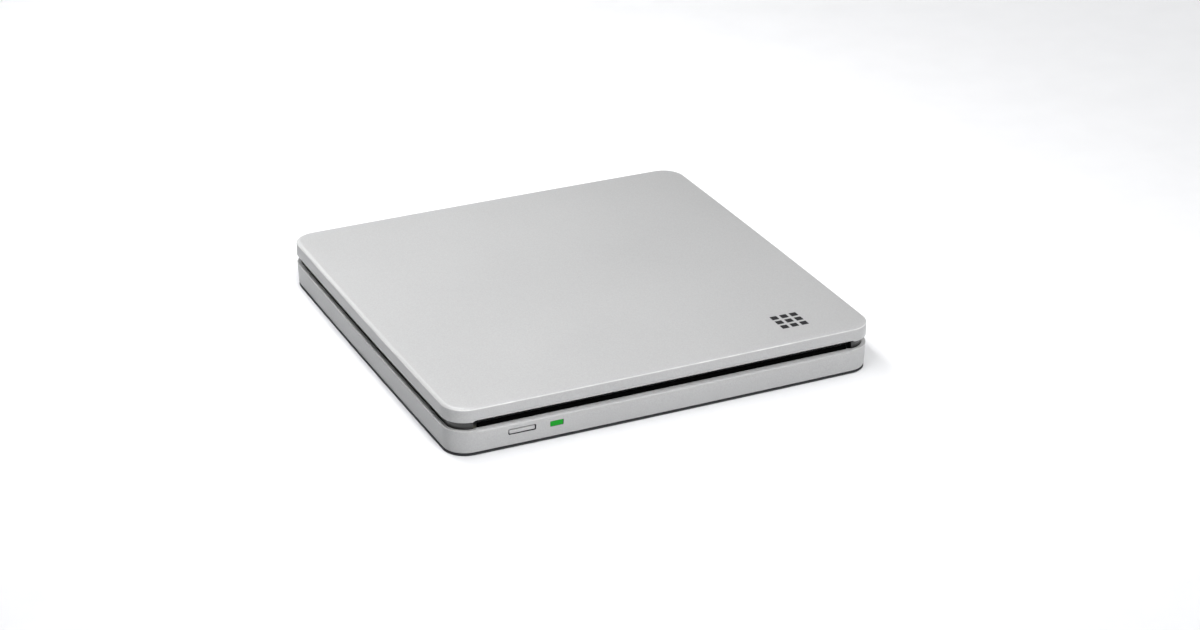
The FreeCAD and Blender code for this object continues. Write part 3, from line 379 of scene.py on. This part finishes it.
def caseOutline(form=outlineForm):
    # pairs of a point on the outline and its outward normal, anticlockwise from the front left
    halfWide, halfDeep, corner = form["halfWide"], form["halfDeep"], form["corner"]

    def arcRadius(half):
        chord = half - form["bow"]
        return (chord * chord + form["bow"] ** 2) / (2 * form["bow"])

    front, side = arcRadius(halfWide), arcRadius(halfDeep)
    centreX, centreY = halfWide - corner, halfDeep - corner
    for _ in range(20):
        centreY = halfDeep - front + math.sqrt((front - corner) ** 2 - centreX ** 2)
        centreX = halfWide - side + math.sqrt((side - corner) ** 2 - centreY ** 2)
    frontTurn = math.asin(centreX / (front - corner))
    sideTurn = math.asin(centreY / (side - corner))
    pairs = []
    for quarter in range(4):
        along = quarter % 2
        radius, turn = (side, sideTurn) if along else (front, frontTurn)
        reach = (halfWide if along else halfDeep) - radius
        steps = form["sideSteps"] if along else form["frontSteps"]
        facing = Vector((0, -1, 0))
        facing.rotate(Quaternion((0, 0, 1), quarter * math.pi / 2))
        for i in range(steps):
            share = math.sin(math.pi * (i / steps - 0.5))
            normal = facing.copy()
            normal.rotate(Quaternion((0, 0, 1), turn * share))
            pairs.append((facing * reach + normal * radius, normal))
        nextTurn = frontTurn if along else sideTurn
        spread = math.pi / 2 - turn - nextTurn
        signX = (1, 1, -1, -1)[quarter]
        signY = (-1, 1, 1, -1)[quarter]
        centre = Vector((signX * centreX, signY * centreY, 0))
        for i in range(form["cornerSteps"]):
            normal = facing.copy()
            normal.rotate(Quaternion((0, 0, 1), turn + spread * i / form["cornerSteps"]))
            pairs.append((centre + normal * corner, normal))
    return pairs


outline = caseOutline()
slotForm = {"half": 62.3 * mm, "slant": 0.9 * mm, "raise": 0.43 * mm, "backEnd": -60.0 * mm}


def slotShare(point, end=0.0):
    # 1 over the disc slot at the front, 0 beside it
    if point.y > slotForm["backEnd"]:
        return 0.0
    return ease((slotForm["half"] + end - abs(point.x)) / slotForm["slant"] + 0.5)


def swept(name, profileAt, material, capped):
    # a profile of (inset, height) pairs carried round the outline; capped at both ends or closed on itself
    points, faces = [], []
    rows = [profileAt(point) for point, _ in outline]
    count = len(rows[0])
    for (point, normal), row in zip(outline, rows):
        for inset, height in row:
            spot = point - normal * inset
            points.append((spot.x, spot.y, height))
    around = len(outline)
    last = count - 1 if capped else count
    for i in range(around):
        here, there = i * count, (i + 1) % around * count
        for j in range(last):
            k = (j + 1) % count
            faces.append((here + j, here + k, there + k, there + j))
    if capped:
        faces.append([i * count for i in range(around)])
        faces.append([i * count + count - 1 for i in reversed(range(around))])
    return meshObject(name, points, faces, material)


# top cover
coverForm = {
    "top": coverHigh.z,
    "skirt": coverLow.z,
    "wall": 1.35 * mm,
    "plate": 1.2 * mm,
    "flat": 4.0 * mm,
    "bevelWide": 1.0 * mm,
    "bevelDrop": 0.5 * mm,
    "blend": 0.4 * mm,
    "crisp": 0.13 * mm,
}


def coverProfile(point, form=coverForm):
    top, wide, drop, blend, crisp = (form[k] for k in ("top", "bevelWide", "bevelDrop", "blend", "crisp"))
    skirt = form["skirt"] + slotForm["raise"] * slotShare(point)
    slope = drop / wide
    wall, ceiling = form["wall"], top - form["plate"]
    row = [(form["flat"], top)]
    row += bend((wide + blend, top), (wide, top), (wide - blend, top - blend * slope), 6)
    edge = top - drop
    row += bend((2 * crisp, edge + 2 * crisp * slope), (0, edge), (0, edge - 2 * crisp), 4)
    row += bend((0, skirt + 2 * crisp), (0, skirt), (2 * crisp, skirt), 4)
    row += bend((wall - crisp, skirt), (wall, skirt), (wall, skirt + crisp), 2)
    row += [(wall, ceiling), (form["flat"], ceiling)]
    return row


cover = swept("topCover", coverProfile, finishes["silver_paint"], True)
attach(cover, "case")
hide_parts("top_cover")
print("top cover made")


# lower shell, with its button, light and socket openings
shellForm = {
    "rim": shellHigh.z,
    "foot": shellLow.z,
    "wall": 1.35 * mm,
    "lean": 0.35 * mm,
    "footRound": 0.75 * mm,
    "edge": 0.1 * mm,
    "lipDeep": 1.8 * mm,
    "lipDrop": 1.25 * mm,
    "rollDeep": 1.6 * mm,
    "rollHigh": 1.0 * mm,
}


def shellProfile(point, form=shellForm):
    rim, foot, lean, wall, edge = (form[k] for k in ("rim", "foot", "lean", "wall", "edge"))
    share = slotShare(point, -0.6 * mm)

    def leaning(height):
        return lean * (rim - height) / (rim - foot)

    shoulder = rim - form["rollHigh"]
    footTop = foot + form["footRound"]
    row = bend((lean + form["footRound"], foot), (lean, foot), (leaning(footTop), footTop), 7)
    row.append((leaning(shoulder), shoulder))
    plain = [(leaning(rim - edge), rim - edge)]
    plain += bend((leaning(rim - edge), rim - edge), (0, rim), (edge, rim), 4)[1:]
    plain += [(edge + (wall - 2 * edge) * i / 5, rim) for i in range(1, 6)]
    plain += [(wall, rim - edge), (wall, rim - edge), (wall, rim - form["lipDrop"])]
    deep, high = form["rollDeep"], form["rollHigh"]
    rolled = []
    for i in range(1, 11):
        angle = math.pi / 2 * i / 10
        inset = deep - (deep - leaning(shoulder)) * math.cos(angle)
        rolled.append((inset, shoulder + high * math.sin(angle)))
    lipDeep, lipFoot = form["lipDeep"], rim - form["lipDrop"]
    rolled += [(lipDeep - edge, rim), (lipDeep, lipFoot), (wall, lipFoot)]
    for (plainIn, plainUp), (rollIn, rollUp) in zip(plain, rolled):
        row.append((plainIn + (rollIn - plainIn) * share, plainUp + (rollUp - plainUp) * share))
    row.append((wall, foot))
    return row


cutterForm = {"deep": 3.0 * mm, "flare": 0.06 * mm, "reach": 2.0 * mm, "steps": 6}


def openingCutter(name, centre, wide, high, radius, outward, form=cutterForm):
    # a rounded bar that flares a little where it leaves the shell;
    # its black finish stays on the opening's walls
    flare, steps = form["flare"], form["steps"]
    rings = ((-form["deep"], 0.0), (-flare, 0.0), (flare, flare), (form["reach"], flare))
    points, faces = [], []
    for depth, grow in rings:
        for quarter in range(4):
            signX, signZ = ((1, 1), (-1, 1), (-1, -1), (1, -1))[quarter]
            for i in range(steps + 1):
                angle = math.pi / 2 * (quarter + i / steps)
                x = signX * (wide / 2 - radius) + (radius + grow) * math.cos(angle)
                z = signZ * (high / 2 - radius) + (radius + grow) * math.sin(angle)
                points.append(centre + Vector((x, outward * depth, z)))
    count = 4 * (steps + 1)
    for ring in range(len(rings) - 1):
        for i in range(count):
            k = (i + 1) % count
            here, there = ring * count, (ring + 1) * count
            faces.append((here + i, here + k, there + k, there + i))
    faces.append(list(reversed(range(count))))
    faces.append([(len(rings) - 1) * count + i for i in range(count)])
    if outward < 0:
        faces = [list(reversed(face)) for face in faces]
    return meshObject(name, points, [tuple(reversed(face)) for face in faces], finishes["black_matte"])


def surfaceAt(x, height, outward):
    # the shell's outer face at a place along the front (-1) or the back (1)
    bowed = outlineForm["bow"] * (x / outlineForm["halfWide"]) ** 2
    leaned = shellForm["lean"] * (shellForm["rim"] - height) / (shellForm["rim"] - shellForm["foot"])
    return outward * (outlineForm["halfDeep"] - bowed - leaned)


def middle(node):
    low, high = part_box(node)
    return (low + high) / 2, high - low


# each opening: the node it is centred on, its width, height and corner radius, and front (-1) or back (1)
openingForm = {
    "buttonCutter": ("eject_button", 8.7 * mm, 1.8 * mm, 0.45 * mm, -1),
    "lightCutter": ("light_window", 4.2 * mm, 1.75 * mm, 0.25 * mm, -1),
    "socketCutter": ("usb_socket", 9.2 * mm, 3.9 * mm, 1.2 * mm, 1),
}
openings = []
for label, (node, wide, high, radius, outward) in openingForm.items():
    centre, _ = middle(node)
    centre.y = surfaceAt(centre.x, centre.z, outward)
    openings.append(openingCutter(label, centre, wide, high, radius, outward))

shell = swept("lowerShell", shellProfile, finishes["silver_paint_lower"], False)
for cutter in openings:
    cut = shell.modifiers.new(cutter.name, "BOOLEAN")
    cut.operation = "DIFFERENCE"
    cut.solver = "EXACT"
    cut.material_mode = "TRANSFER"
    cut.object = cutter
settled(shell)
shell.data.set_sharp_from_angle(angle=sharpAngle)
for cutter in openings:
    bpy.data.objects.remove(cutter)
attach(shell, "case")
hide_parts("lower_shell")
print("lower shell made")


# CAD pieces keep their shape: smooth shading through a small tree, and their finish
def smoothShading():
    group = bpy.data.node_groups.new("smoothShading", "GeometryNodeTree")
    for flow in ("INPUT", "OUTPUT"):
        group.interface.new_socket("Geometry", in_out=flow, socket_type="NodeSocketGeometry")
    group.interface.new_socket("Merge Distance", in_out="INPUT", socket_type="NodeSocketFloat")
    group.interface.new_socket("Sharp Angle", in_out="INPUT", socket_type="NodeSocketFloat")
    tree = Tree(group)
    start = tree.add("NodeGroupInput")
    merged = tree.add(
        "GeometryNodeMergeByDistance", None,
        {"Geometry": start, "Distance": tree.outputOf(start, "Merge Distance")},
    )
    turn = tree.add("GeometryNodeInputMeshEdgeAngle")
    sharp = tree.add(
        "FunctionNodeCompare", {"data_type": "FLOAT", "operation": "GREATER_THAN"},
        {0: turn, 1: tree.outputOf(start, "Sharp Angle")},
    )
    soft = tree.add(
        "GeometryNodeSetShadeSmooth", {"domain": "FACE"}, {"Geometry": merged, "Shade Smooth": True}
    )
    edged = tree.add(
        "GeometryNodeSetShadeSmooth", {"domain": "EDGE"},
        {"Geometry": soft, "Selection": sharp, "Shade Smooth": False},
    )
    end = tree.tree.nodes.new("NodeGroupOutput")
    tree.feed(end.inputs[0], edged)
    return group


def setInput(modifier, name, value):
    socket = next(item for item in modifier.node_group.interface.items_tree if item.name == name)
    modifier[socket.identifier] = value


smoothForm = {"merge": 0.001 * mm, "sharpAngle": math.radians(24.0)}
smoothGroup = smoothShading()
for name, piece in nodes.items():
    piece.data.materials.clear()
    piece.data.materials.append(finishes[slotOf[name]])
    if piece.hide_render:
        continue
    smooth = piece.modifiers.new("smoothShading", "NODES")
    smooth.node_group = smoothGroup
    setInput(smooth, "Merge Distance", smoothForm["merge"])
    setInput(smooth, "Sharp Angle", smoothForm["sharpAngle"])
print("CAD pieces finished")


# rows and grids of small bars, made by one tree
def barGrid():
    group = bpy.data.node_groups.new("barGrid", "GeometryNodeTree")
    group.interface.new_socket("Geometry", in_out="INPUT", socket_type="NodeSocketGeometry")
    group.interface.new_socket("Geometry", in_out="OUTPUT", socket_type="NodeSocketGeometry")
    for name, kind in (
        ("Count X", "Int"), ("Count Y", "Int"), ("Pitch X", "Float"), ("Pitch Y", "Float"),
        ("Bar Size", "Vector"), ("Middle", "Vector"), ("Finish", "Material"),
    ):
        group.interface.new_socket(name, in_out="INPUT", socket_type="NodeSocket" + kind)
    tree = Tree(group)
    start = tree.add("NodeGroupInput")
    given = {name: tree.outputOf(start, name) for name in (
        "Count X", "Count Y", "Pitch X", "Pitch Y", "Bar Size", "Middle", "Finish"
    )}
    spots = tree.add("GeometryNodeMeshGrid", None, {
        "Size X": given["Pitch X"] * (given["Count X"] - 1.0),
        "Size Y": given["Pitch Y"] * (given["Count Y"] - 1.0),
        "Vertices X": given["Count X"], "Vertices Y": given["Count Y"],
    })
    placed = tree.add("GeometryNodeTransform", None, {"Geometry": spots, "Translation": given["Middle"]})
    bar = tree.add("GeometryNodeMeshCube", None, {"Size": given["Bar Size"]})
    bars = tree.add("GeometryNodeInstanceOnPoints", None, {"Points": placed, "Instance": bar})
    real = tree.add("GeometryNodeRealizeInstances", None, {"Geometry": bars})
    done = tree.add("GeometryNodeSetMaterial", None, {"Geometry": real, "Material": given["Finish"]})
    end = tree.tree.nodes.new("NodeGroupOutput")
    tree.feed(end.inputs[0], done)
    return group


gridGroup = barGrid()


def gridOf(name, countX, countY, pitchX, pitchY, size, middleSpot, finish, body="case"):
    made = meshObject(name, [(0, 0, 0), (mm, 0, 0), (0, mm, 0)], [(0, 1, 2)], finish)
    modifier = made.modifiers.new("barGrid", "NODES")
    modifier.node_group = gridGroup
    for socket, value in (
        ("Count X", countX), ("Count Y", countY), ("Pitch X", pitchX), ("Pitch Y", pitchY),
        ("Bar Size", size), ("Middle", middleSpot), ("Finish", finish),
    ):
        setInput(modifier, socket, value)
    settled(made)
    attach(made, body)
    return made


# a plain printed grid, thin as ink, near the front right of the cover
markForm = {
    "x": 47.0 * mm,
    "y": -56.0 * mm,
    "count": 3,
    "pitch": 3.3 * mm,
    "square": 2.3 * mm,
    "thick": 0.03 * mm,
}
markSpot = (markForm["x"], markForm["y"], coverForm["top"])
markSize = (markForm["square"], markForm["square"], markForm["thick"])
mark = gridOf(
    "printedGrid", markForm["count"], markForm["count"], markForm["pitch"], markForm["pitch"],
    markSize, markSpot, inkMaterial,
)

# contacts on the socket's tongue
tongueMid, tongueSize = middle("socket_tongue")
contactForm = {"count": 10, "pitch": 0.4 * mm, "wide": 0.22 * mm, "thick": 0.06 * mm, "long": 3.4 * mm}
contacts = gridOf(
    "socketContacts", contactForm["count"], 1, contactForm["pitch"], 0.0,
    (contactForm["wide"], contactForm["long"], contactForm["thick"]),
    (tongueMid.x, tongueMid.y, tongueMid.z - tongueSize.z / 2), finishes["brass"],
)
print("printed grid and contacts made")


# felt pile on the two wipers
def feltPile():
    group = bpy.data.node_groups.new("feltPile", "GeometryNodeTree")
    group.interface.new_socket("Geometry", in_out="INPUT", socket_type="NodeSocketGeometry")
    group.interface.new_socket("Geometry", in_out="OUTPUT", socket_type="NodeSocketGeometry")
    for name, kind in (
        ("Density", "Float"), ("Seed", "Int"), ("Length", "Float"), ("Radius", "Float"),
        ("Finish", "Material"),
    ):
        group.interface.new_socket(name, in_out="INPUT", socket_type="NodeSocket" + kind)
    tree = Tree(group)
    start = tree.add("NodeGroupInput")
    scattered = tree.add("GeometryNodeDistributePointsOnFaces", None, {
        "Mesh": start, "Density": tree.outputOf(start, "Density"), "Seed": tree.outputOf(start, "Seed"),
    })
    fibre = tree.add("GeometryNodeMeshCone", None, {
        "Vertices": 3, "Radius Top": 0.0, "Radius Bottom": tree.outputOf(start, "Radius"),
        "Depth": tree.outputOf(start, "Length"),
    })
    facing = tree.outputOf(scattered, "Rotation")
    lean = tree.add("FunctionNodeRandomValue", {"data_type": "FLOAT_VECTOR"}, {
        0: (-0.5, -0.5, 0.0), 1: (0.5, 0.5, 3.1), "Seed": tree.outputOf(start, "Seed"),
    })
    turned = tree.add("FunctionNodeRotateRotation", {"rotation_space": "LOCAL"}, {
        "Rotation": facing, "Rotate By": lean,
    })
    fibres = tree.add("GeometryNodeInstanceOnPoints", None, {
        "Points": scattered, "Instance": fibre, "Rotation": turned,
    })
    joined = tree.tree.nodes.new("GeometryNodeJoinGeometry")
    for part in (fibres, start):
        tree.tree.links.new(part.socket, joined.inputs[0])
    real = tree.add("GeometryNodeRealizeInstances", None, {"Geometry": Wire(tree, joined.outputs[0])})
    done = tree.add("GeometryNodeSetMaterial", None, {
        "Geometry": real, "Material": tree.outputOf(start, "Finish"),
    })
    end = tree.tree.nodes.new("NodeGroupOutput")
    tree.feed(end.inputs[0], done)
    return group


pileForm = {"density": 1.1e7, "length": 0.45 * mm, "radius": 0.03 * mm}
pileGroup = feltPile()
for seed, name in enumerate(("upper_wiper", "lower_wiper")):
    low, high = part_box(name)
    points = [(x, y, z) for x in (low.x, high.x) for y in (low.y, high.y) for z in (low.z, high.z)]
    faces = [(0, 1, 3, 2), (4, 6, 7, 5), (0, 4, 5, 1), (2, 3, 7, 6), (0, 2, 6, 4), (1, 5, 7, 3)]
    pile = meshObject(name + "Pile", points, faces, finishes["felt"])
    modifier = pile.modifiers.new("feltPile", "NODES")
    modifier.node_group = pileGroup
    for socket, value in (
        ("Density", pileForm["density"]), ("Seed", seed), ("Length", pileForm["length"]),
        ("Radius", pileForm["radius"]), ("Finish", finishes["felt"]),
    ):
        setInput(modifier, socket, value)
    settled(pile)
    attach(pile, "case")
    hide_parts(name)
print("felt pile made")


# eject button and light window with softened edges
def softBar(name, low, high, radius, edge, finish):
    # a bar along Y with round corners and a softened front edge
    mid = (low + high) / 2
    rings = ((high.y, 0.0), (low.y + edge, 0.0), (low.y + edge * 0.3, -edge * 0.3), (low.y, -edge))
    points, faces = [], []
    steps = 5
    for y, grow in rings:
        for quarter in range(4):
            signX, signZ = ((1, 1), (-1, 1), (-1, -1), (1, -1))[quarter]
            for i in range(steps + 1):
                angle = math.pi / 2 * (quarter + i / steps)
                x = mid.x + signX * ((high.x - low.x) / 2 - radius) + (radius + grow) * math.cos(angle)
                z = mid.z + signZ * ((high.z - low.z) / 2 - radius) + (radius + grow) * math.sin(angle)
                points.append((x, y, z))
    count = 4 * (steps + 1)
    for ring in range(len(rings) - 1):
        for i in range(count):
            k = (i + 1) % count
            here, there = ring * count, (ring + 1) * count
            faces.append((here + i, here + k, there + k, there + i))
    faces.append(list(reversed(range(count))))
    faces.append([(len(rings) - 1) * count + i for i in range(count)])
    return meshObject(name, points, faces, finish)


buttonForm = {
    "wide": 8.06 * mm,
    "high": 1.18 * mm,
    "deep": 1.45 * mm,
    "radius": 0.3 * mm,
    "edge": 0.1 * mm,
    "flange": 0.5 * mm,
    "hiddenEdge": 0.05 * mm,
    "stemHalfWide": 1.5 * mm,
    "stemHalfHigh": 0.6 * mm,
    "stemRadius": 0.15 * mm,
}


def makeButton(form=buttonForm):
    low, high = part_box("eject_button")
    mid = (low + high) / 2
    half = Vector((form["wide"] / 2, 0, form["high"] / 2))
    capLow = Vector((mid.x, low.y, mid.z)) - half
    capHigh = Vector((mid.x, low.y + form["deep"], mid.z)) + half
    cap = softBar("buttonCap", capLow, capHigh, form["radius"], form["edge"], finishes["silver_button"])
    flangeLow = Vector((low.x, low.y + form["deep"], low.z))
    flangeHigh = Vector((high.x, low.y + form["deep"] + form["flange"], high.z))
    hidden, black = form["hiddenEdge"], finishes["black_matte"]
    flange = softBar("buttonFlange", flangeLow, flangeHigh, form["radius"], hidden, black)
    stemHalf = Vector((form["stemHalfWide"], 0, form["stemHalfHigh"]))
    stemLow = Vector((mid.x, flangeHigh.y, mid.z)) - stemHalf
    stemHigh = Vector((mid.x, high.y, mid.z)) + stemHalf
    stem = softBar("buttonStem", stemLow, stemHigh, form["stemRadius"], hidden, black)
    for piece, slot in ((cap, "silver_button"), (flange, "black_matte"), (stem, "black_matte")):
        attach(piece, "eject_button")
    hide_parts("eject_button")


makeButton()
windowForm = {"radius": 0.28 * mm, "edge": 0.15 * mm}
lightLow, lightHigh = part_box("light_window")
light = softBar(
    "lightWindow", lightLow, lightHigh, windowForm["radius"], windowForm["edge"], finishes["green_lens"]
)
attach(light, "case")
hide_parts("light_window")
print("button and light made")


# camera, floor and light
cameraForm = {
    "spot": (-0.3232, -0.7154, 0.3764),
    "azimuth": -24.942,
    "elevation": 25.464,
    "lens": 82.34,
    "sensor": 36.0,
    "clipStart": 0.01,
}


def makeCamera(form=cameraForm):
    data = bpy.data.cameras.new("camera")
    data.lens = form["lens"]
    data.sensor_width = form["sensor"]
    data.clip_start = form["clipStart"]
    camera = bpy.data.objects.new("camera", data)
    turn, rise = math.radians(form["azimuth"]), math.radians(form["elevation"])
    back = Vector((math.sin(turn) * math.cos(rise), -math.cos(turn) * math.cos(rise), math.sin(rise)))
    camera.location = form["spot"]
    camera.rotation_mode = "QUATERNION"
    camera.rotation_quaternion = (-back).to_track_quat("-Z", "Y")
    scene.collection.objects.link(camera)
    scene.camera = camera


# the paper is painted paler to the right and to the back, where less light reaches it: painted light that
# evens out the floor's brightness
floorForm = {
    "half": 6.0,
    "near": (0.6, 0.604, 0.616, 1.0),
    "far": (0.93, 0.935, 0.95, 1.0),
    "from": -0.2,
    "to": 0.2,
    "backShare": 0.5,
    "fibreScale": 60.0,
    "fibreShare": 0.15,
}


def makeFloor(form=floorForm):
    size = form["half"]
    corners = [(-size, -size, 0), (size, -size, 0), (size, size, 0), (-size, size, 0)]
    floor = meshObject("floor", corners, [(0, 1, 2, 3)], None)
    paper = Finish("floor paper", {"Roughness": 0.9, "Specular IOR Level": 0.1})
    fibre = paper.noise(form["fibreScale"], 4.0)
    place = paper.add("ShaderNodeSeparateXYZ", None, {"Vector": paper.place})
    away = paper.outputOf(place, "X") + paper.outputOf(place, "Y") * form["backShare"]
    share = form["fibreShare"]
    # painted light: paler away from the front left, mixed with the paper's own fibre tone
    pale = paper.ramp(away, form["from"], form["to"]) * (1 - share) + fibre * share
    tone = paper.mix(pale, form["near"], form["far"])
    paper.set(Base_Color=tone)
    floor.data.materials.clear()
    floor.data.materials.append(paper.material)


def softbox(name, spot, aim, size, power):
    data = bpy.data.lights.new(name, "AREA")
    data.shape = "RECTANGLE"
    data.size, data.size_y = size
    data.energy = power
    light = bpy.data.objects.new(name, data)
    light.location = spot
    light.rotation_mode = "QUATERNION"
    light.rotation_quaternion = (Vector(aim) - Vector(spot)).to_track_quat("-Z", "Y")
    scene.collection.objects.link(light)


skyForm = {
    "left": 0.02,
    "right": 0.86,
    "leftEnd": -0.55,
    "rightEnd": 0.0,
    "front": 0.9,
    "back": 0.45,
    "turn": 0.3,
}


def makeSky(form=skyForm):
    # a studio sky: dark to the left, bright to the front and the right
    world = bpy.data.worlds.new("sky")
    world.use_nodes = True
    scene.world = world
    tree = Tree(world.node_tree)
    ray = tree.add("ShaderNodeTexCoord", output="Generated")
    split = tree.add("ShaderNodeSeparateXYZ", None, {"Vector": ray})
    alongX, alongY = tree.outputOf(split, "X"), tree.outputOf(split, "Y")
    sideways = tree.add(
        "ShaderNodeMapRange", {"interpolation_type": "SMOOTHSTEP"},
        {
            "Value": alongX, "From Min": form["leftEnd"], "From Max": form["rightEnd"],
            "To Min": form["left"], "To Max": form["right"],
        },
    )
    lengthways = tree.add(
        "ShaderNodeMapRange", {"interpolation_type": "SMOOTHSTEP"},
        {
            "Value": alongY, "From Min": -form["turn"], "From Max": form["turn"],
            "To Min": form["front"], "To Max": form["back"],
        },
    )
    background = world.node_tree.nodes["Background"]
    tree.feed(background.inputs["Strength"], sideways * lengthways)
    background.inputs["Color"].default_value = (1.0, 1.0, 1.0, 1.0)


makeCamera()
makeFloor()
makeSky()
# each panel: where it stands, where it aims, its size and its power in watts
panelForm = {
    "frontPanel": ((0.1, -1.15, 0.7), (0.0, 0.0, 0.0), (1.2, 0.35), 10.6),
    "topPanel": ((-0.08, 0.02, 0.27), (-0.08, 0.0201, 0.0), (0.1, 0.5), 1.3),
    "backPanel": ((-0.15, 1.2, 0.5), (0.0, 0.0, 0.0), (0.5, 0.35), 3.5),
    "rightPanel": ((0.75, 0.45, 0.6), (0.45, 0.3, 0.0), (0.4, 0.4), 1.0),
}
for name, (spot, aim, size, power) in panelForm.items():
    softbox(name, spot, aim, size, power)
scene.view_settings.view_transform = "Standard"
